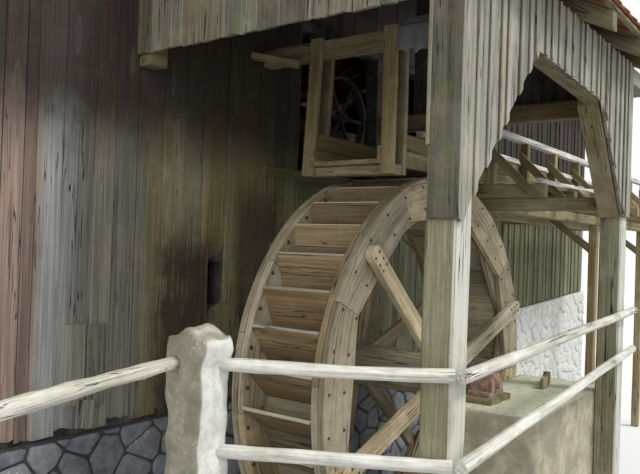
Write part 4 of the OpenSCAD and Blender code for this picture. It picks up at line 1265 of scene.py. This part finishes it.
class WATERMILL_OT_wheel(Operator):
    """Build the wheel of felloes, sole planks, buckets and arms"""
    bl_idname = "watermill.wheel"
    bl_label = "Water wheel"

    def felloe(self, shape, x, thick, start, step):
        """A plank of a shroud, sawn round outside and straight inside."""
        mid, inner = start + step / 2, SOLE_R - 0.088
        outer = WHEEL_R - shape.rand.uniform(0.004, 0.013)
        width = outer - inner

        def place(s, u, v):
            angle = start + s / WHEEL_R
            low = inner / math.cos(angle - mid)
            r = low + (u / width + 0.5) * (outer - low)
            return on_wheel(x + v, r, angle)

        shape.sweep(place, WHEEL_R * step - 0.005, width, thick, wear=0.007, rough=0.003, cells=3, steps=14)

    def execute(self, context):
        sizes = context.scene.watermill_sizes
        layer, count = sizes.shroud_layer, sizes.buckets
        x0, x1 = SHROUDS[0][0].x + 2 * layer, SHROUDS[1][1].x - 2 * layer
        shroud, nails = Shape(61), Shape(62)

        def across(shape, at, side, wide, thick, **how):
            """A plank from one shroud to the other."""
            shape.plank(at + Vector((x0, 0, 0)), at + Vector((x1, 0, 0)), side, wide, thick, **how)

        for side, first in enumerate((SHROUDS[0][0].x, x1)):
            for k in range(2):
                step = 2 * math.pi / sizes.felloes
                for i in range(sizes.felloes):
                    self.felloe(shroud, first + layer * (k + 0.5), layer - 0.005,
                                step * (i + 0.5 * k + 0.25 * side) + 0.1, step)
        shroud.piece("shroud_planks", "wheel_timber", "wet_timber", "wheel", ("wheel_shrouds",))

        sole = Shape(63)
        for i in range(sizes.sole_planks):
            a = 2 * math.pi * (i + 0.5) / sizes.sole_planks
            wide = 2 * math.tan(math.pi / sizes.sole_planks) * (SOLE_R - 0.014) - 0.003
            r = SOLE_R - 0.015 - sole.rand.uniform(0, 0.003)
            across(sole, on_wheel(0, r, a), tangent(a), wide, 0.026, wear=0.003, steps=2)
        sole.piece("sole_planks", "wheel_timber", "wet_timber", "wheel", ("wheel_sole",))

        boards, lips = Shape(64), Shape(67)
        lead, phase, bay = math.radians(8.6), math.radians(7.6), 2 * math.pi / count
        for i in range(count):
            turn = phase + bay * i
            foot, lip = on_wheel(0, SOLE_R - 0.003, turn), on_wheel(0, WHEEL_R - 0.014, turn - lead)
            along = (lip - foot).normalized()
            out, reach = along.cross(Vector(AXIS_X)), (lip - foot).length
            # Two boards one after the other, and a thin lip on the outer one's edge
            for a, b in ((0, 0.19), (0.193, reach - 0.004)):
                mid = foot + along * (a + b) / 2 + out * boards.rand.uniform(-0.003, 0.003)
                across(boards, mid, along, b - a, 0.027, wear=0.005, rough=0.003, steps=3, cells=2,
                       bow=boards.rand.uniform(-0.003, 0.003))
            across(lips, foot + along * (reach + 0.001), out, 0.03, 0.01, wear=0.003, rough=0.002, steps=6)
            peg = turn + bay * 0.7
            for x, way in ((x0, 1), (x1, -1)):
                nails.stud(on_wheel(x, PEG_R, peg), (way, 0, 0), 0.016, 0.012)
        boards.piece("bucket_boards", "bucket_timber", "wet_timber", "wheel", ("bucket_floors", "bucket_faces"))
        lips.piece("bucket_lips", "lip_timber", "wet_timber", "wheel")

        arms = Shape(65)
        # The arms end short of the rim, with a rounded end
        inner, outer, arm_wide = 0.18, WHEEL_R - 0.07, 0.15
        for lo, hi in solids("wheel_arms"):
            towards = Vector((0, (lo.y + hi.y) / 2, (lo.z + hi.z) / 2 - AXLE_Z))
            a = math.atan2(towards.z, towards.y)
            out = Vector((0, math.cos(a), math.sin(a)))
            x = (lo.x + hi.x) / 2
            hub = Vector((x, 0, AXLE_Z))
            arms.plank(hub + out * inner, hub + out * outer, tangent(a), arm_wide, hi.x - lo.x - 0.002,
                       wear=0.009, rough=0.006, cells=6, nose=True, steps=8)
            face = hi.x if x > (SHROUDS[0][0].x + SHROUDS[1][1].x) / 2 else lo.x
            for r in (SOLE_R, SOLE_R + 0.07, SOLE_R + 0.15):
                for off in (-0.035, 0.04):
                    at = hub + out * r + tangent(a) * off
                    at.x = face
                    nails.stud(at, (face - x, 0, 0), 0.011, 0.006)
        arms.piece("arm_planks", "wheel_timber", "wet_timber", "wheel", ("wheel_arms",))
        for way, x in ((-1, SHROUDS[0][0].x), (1, SHROUDS[1][1].x)):
            for i in range(count):
                a = phase + bay * (i + 0.5)
                for r in (SOLE_R + 0.03, WHEEL_R - 0.07):
                    nails.stud(on_wheel(x, r, a), (way, 0, 0), 0.012, 0.006)
        nails.piece("wheel_nails", "pulley_iron", "rusty_iron", "wheel")

        axle = Shape(66)
        lo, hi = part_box("wheel_axle")
        radius = (hi.z - lo.z) / 2
        axle.pole((lo.x, 0, AXLE_Z), (hi.x, 0, AXLE_Z), radius - 0.002, radius - 0.002, sides=28, rough=0.004, bend=0,
                  steps=12)
        axle.piece("axle_log", "wheel_timber", "wet_timber", "wheel", ("wheel_axle",))
        dress("rusty_iron", "wheel_gudgeons")
        return {"FINISHED"}


class WATERMILL_OT_bearings(Operator):
    """Cast the piers and set the chocks and bearing blocks"""
    bl_idname = "watermill.bearings"
    bl_label = "Bearings"

    def execute(self, context):
        pier = Shape(71)
        for node in ("bearing_pier", "inner_pier"):
            lo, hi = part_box(node)
            pier.rough_block(lo, hi, 0.06, 0.02, 0.035)
        pier.piece("pier_blocks", "concrete", "concrete", replaces=("bearing_pier", "inner_pier"))
        chocks = Shape(72)
        for lo, hi in solids("bearing_chocks"):
            for a, b in ((lo.y, (lo.y + hi.y) / 2 - 0.002), ((lo.y + hi.y) / 2 + 0.002, hi.y)):
                chocks.beam((lo.x, a, lo.z), (hi.x, b, hi.z), wear=0.008, rough=0.006, cells=3, ragged=(0.02, 0.03))
        # Three broken board stumps on the pier
        pier_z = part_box("bearing_pier")[1].z
        for i in range(3):
            x, y = 2.1 + 0.04 * i, 1.26 - 0.15 * i
            chocks.plank((x + 0.02, y - 0.06, pier_z - 0.004), (x + 0.02, y - 0.06, pier_z + 0.15), AXIS_Y, 0.12,
                         0.036, wear=0.006, rough=0.005, cells=5, ragged=(0, 0.07))
        chocks.piece("chock_planks", "beam_timber", "brown_timber", replaces=("bearing_chocks",))
        dress("rusty_iron", "bearing_blocks")
        return {"FINISHED"}


class WATERMILL_OT_pulley(Operator):
    """Finish the pulley inside the mill and its beams"""
    bl_idname = "watermill.pulley"
    bl_label = "Pulley"

    def execute(self, context):
        dress("board_shadow", "pulley_hangers")
        dress("pulley_iron", "pulley_shaft", "pulley_wheel")
        return {"FINISHED"}


class WATERMILL_OT_fence(Operator):
    """Hew the stone posts and lay the rails of the fence"""
    bl_idname = "watermill.fence"
    bl_label = "Fence"

    def execute(self, context):
        posts = Shape(81)
        for lo, hi in solids("stone_fence_posts"):
            wide, tall = hi.x - lo.x, hi.z - lo.z

            def hewn(p):
                across = (p.x - lo.x) / wide
                rise = (p.z - lo.z) / tall
                head = hi.z - 0.01 - 0.1 * max(0, 0.45 - across) / 0.45 - 0.06 * max(0, across - 0.55) / 0.45
                p.z = min(p.z, head + 0.03 * noise.noise(p * 9))
                span = wide * (1 - 0.26 * rise) + 0.035 * noise.noise(Vector((0, 3.1, p.z * 3)))
                span += 0.03 * max(0, 1 - abs(rise - 0.955) / 0.04)
                p.x = lo.x + 0.012 + across * (span - 0.02) + 0.022 * noise.noise(Vector((7.7, p.y * 4, p.z * 5)))
                return p

            posts.rough_block(lo, hi, 0.034, 0.03, 0.04, hewn)
        posts.piece("stone_posts", "fence_stone", "pale_stone", replaces=("stone_fence_posts",))
        rails = Shape(82)
        r = 0.042
        a, b = [(s[0] + s[1]) / 2 for s in sorted(solids("stone_fence_posts"), key=lambda s: -s[0].y)]
        near = Vector((NEAR_POST[1].x + 0.02, NEAR_POST[0].y + 0.001, 0))
        lo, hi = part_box("fence_rails")
        out = hi.x - r
        rough = {"flat": 0.1, "rough": 0.011, "bend": 0.02}
        for z in (UPPER_RAIL, LOWER_RAIL):
            rails.pole((a.x + 0.06, a.y + 0.03, z), (near.x, near.y, z), r * 1.05, r, **rough)
        rails.pole((a.x - 0.12, a.y - 0.11, UPPER_RAIL), (b.x, b.y + 0.1, UPPER_RAIL), r, r * 1.05, **rough)
        for z, rise in ((UPPER_RAIL, 0.17), (LOWER_RAIL, 0.3)):
            rails.pole((out, near.y + 0.006, z), (out, hi.y, z + rise), r * 1.02, r * 0.92, flat=0.1)
        rails.piece("rail_poles", "rail_timber", "pale_timber", replaces=("fence_rails",))
        return {"FINISHED"}


class WATERMILL_OT_stage(Operator):
    """Set the studio floor, the lights and the camera"""
    bl_idname = "watermill.stage"
    bl_label = "Stage"

    def execute(self, context):
        scene = context.scene
        pale = tuple(scene.watermill_colours.stage)
        mesh = bpy.data.meshes.new("studio_floor")
        reach, down = 60.0, -0.002
        mesh.from_pydata([(x * reach, y * reach, down) for x, y in ((-1, -1), (1, -1), (1, 1), (-1, 1))], [],
                         [(0, 1, 2, 3)])
        floor = put("studio_floor", mesh)
        # The floor throws less light on the mill than its colour in the picture would
        f = Finish("studio_floor")
        mesh.materials.append(f.done(f.mix(f.seen(), shade(pale, 0.62), pale), 0.9))
        scene.world = bpy.data.worlds.new("studio")
        sky = Nodes(scene.world)
        light = sky.node("ShaderNodeBackground", {}, {"Color": (0.96, 0.98, 1.0), "Strength": 0.85})
        white = sky.node("ShaderNodeBackground", {}, {"Color": (1.0, 1.0, 1.0)})
        mixed = sky.node("ShaderNodeMixShader", {}, {0: sky.seen(), 1: light, 2: white})
        sky.node("ShaderNodeOutputWorld", {}, {"Surface": mixed})

        # The lamps: place, aim, power and the angle that softens their shadows
        for name, spot, aim, power, soft in (("key", (15, 3.5, 21), (0.5, -0.5, 2), 2.15, 0.2),
                                             ("fill", (9, -14, 8), (0.5, 0, 2.5), 1.1, 1.0)):
            lamp = bpy.data.lights.new(name, "SUN")
            lamp.energy, lamp.angle = power, soft
            stand = put(name, lamp)
            stand.location = spot
            stand.rotation_euler = (Vector(aim) - Vector(spot)).to_track_quat("-Z", "Y").to_euler()

        # The camera as the photograph has it: 37 degrees to the left of +y, almost level, with a slight roll
        eye, focal, pixels = Vector((4.59, -5.93, 3.1)), 715, 640
        yaw, pitch, roll = math.radians(37.0), math.radians(0.54), math.radians(1.91)
        ahead = Vector((-math.sin(yaw) * math.cos(pitch), math.cos(yaw) * math.cos(pitch), math.sin(pitch)))
        right = Vector((math.cos(yaw), math.sin(yaw), 0))
        up = right.cross(ahead)
        across = right * math.cos(roll) + up * math.sin(roll)
        upright = up * math.cos(roll) - right * math.sin(roll)
        view = Matrix((across, upright, -ahead)).transposed().to_4x4()
        view.translation = eye
        lens = bpy.data.cameras.new("camera")
        lens.sensor_width, lens.lens = 36.0, 36.0 * focal / pixels
        lens.clip_end = 200.0
        camera = put("camera", lens)
        camera.matrix_world = view
        scene.camera = camera
        scene.view_settings.view_transform = "Standard"
        return {"FINISHED"}


class WATERMILL_PT_panel(Panel):
    """The steps of the watermill and its sizes and colours"""
    bl_idname = "WATERMILL_PT_panel"
    bl_label = "Watermill"
    bl_space_type = "VIEW_3D"
    bl_region_type = "UI"
    bl_category = "Watermill"

    def draw(self, context):
        for step in STEPS:
            self.layout.operator(step.bl_idname)
        for group in (context.scene.watermill_sizes, context.scene.watermill_colours):
            for name in group.__annotations__:
                self.layout.prop(group, name)


STEPS = (WATERMILL_OT_plinth, WATERMILL_OT_walls, WATERMILL_OT_roof, WATERMILL_OT_shed, WATERMILL_OT_flume,
         WATERMILL_OT_sheet, WATERMILL_OT_wheel, WATERMILL_OT_bearings, WATERMILL_OT_pulley, WATERMILL_OT_fence,
         WATERMILL_OT_stage)
CLASSES = (WatermillSizes, WatermillColours, *STEPS, WATERMILL_PT_panel)


def register():
    for kind in CLASSES:
        bpy.utils.register_class(kind)
    bpy.types.Scene.watermill_sizes = PointerProperty(type=WatermillSizes)
    bpy.types.Scene.watermill_colours = PointerProperty(type=WatermillColours)


def unregister():
    del bpy.types.Scene.watermill_colours
    del bpy.types.Scene.watermill_sizes
    for kind in reversed(CLASSES):
        bpy.utils.unregister_class(kind)


def main():
    noise.seed_set(SEED)
    register()
    for step in STEPS:
        group, name = step.bl_idname.split(".")
        getattr(getattr(bpy.ops, group), name)()


if __name__ == "__main__":
    main()
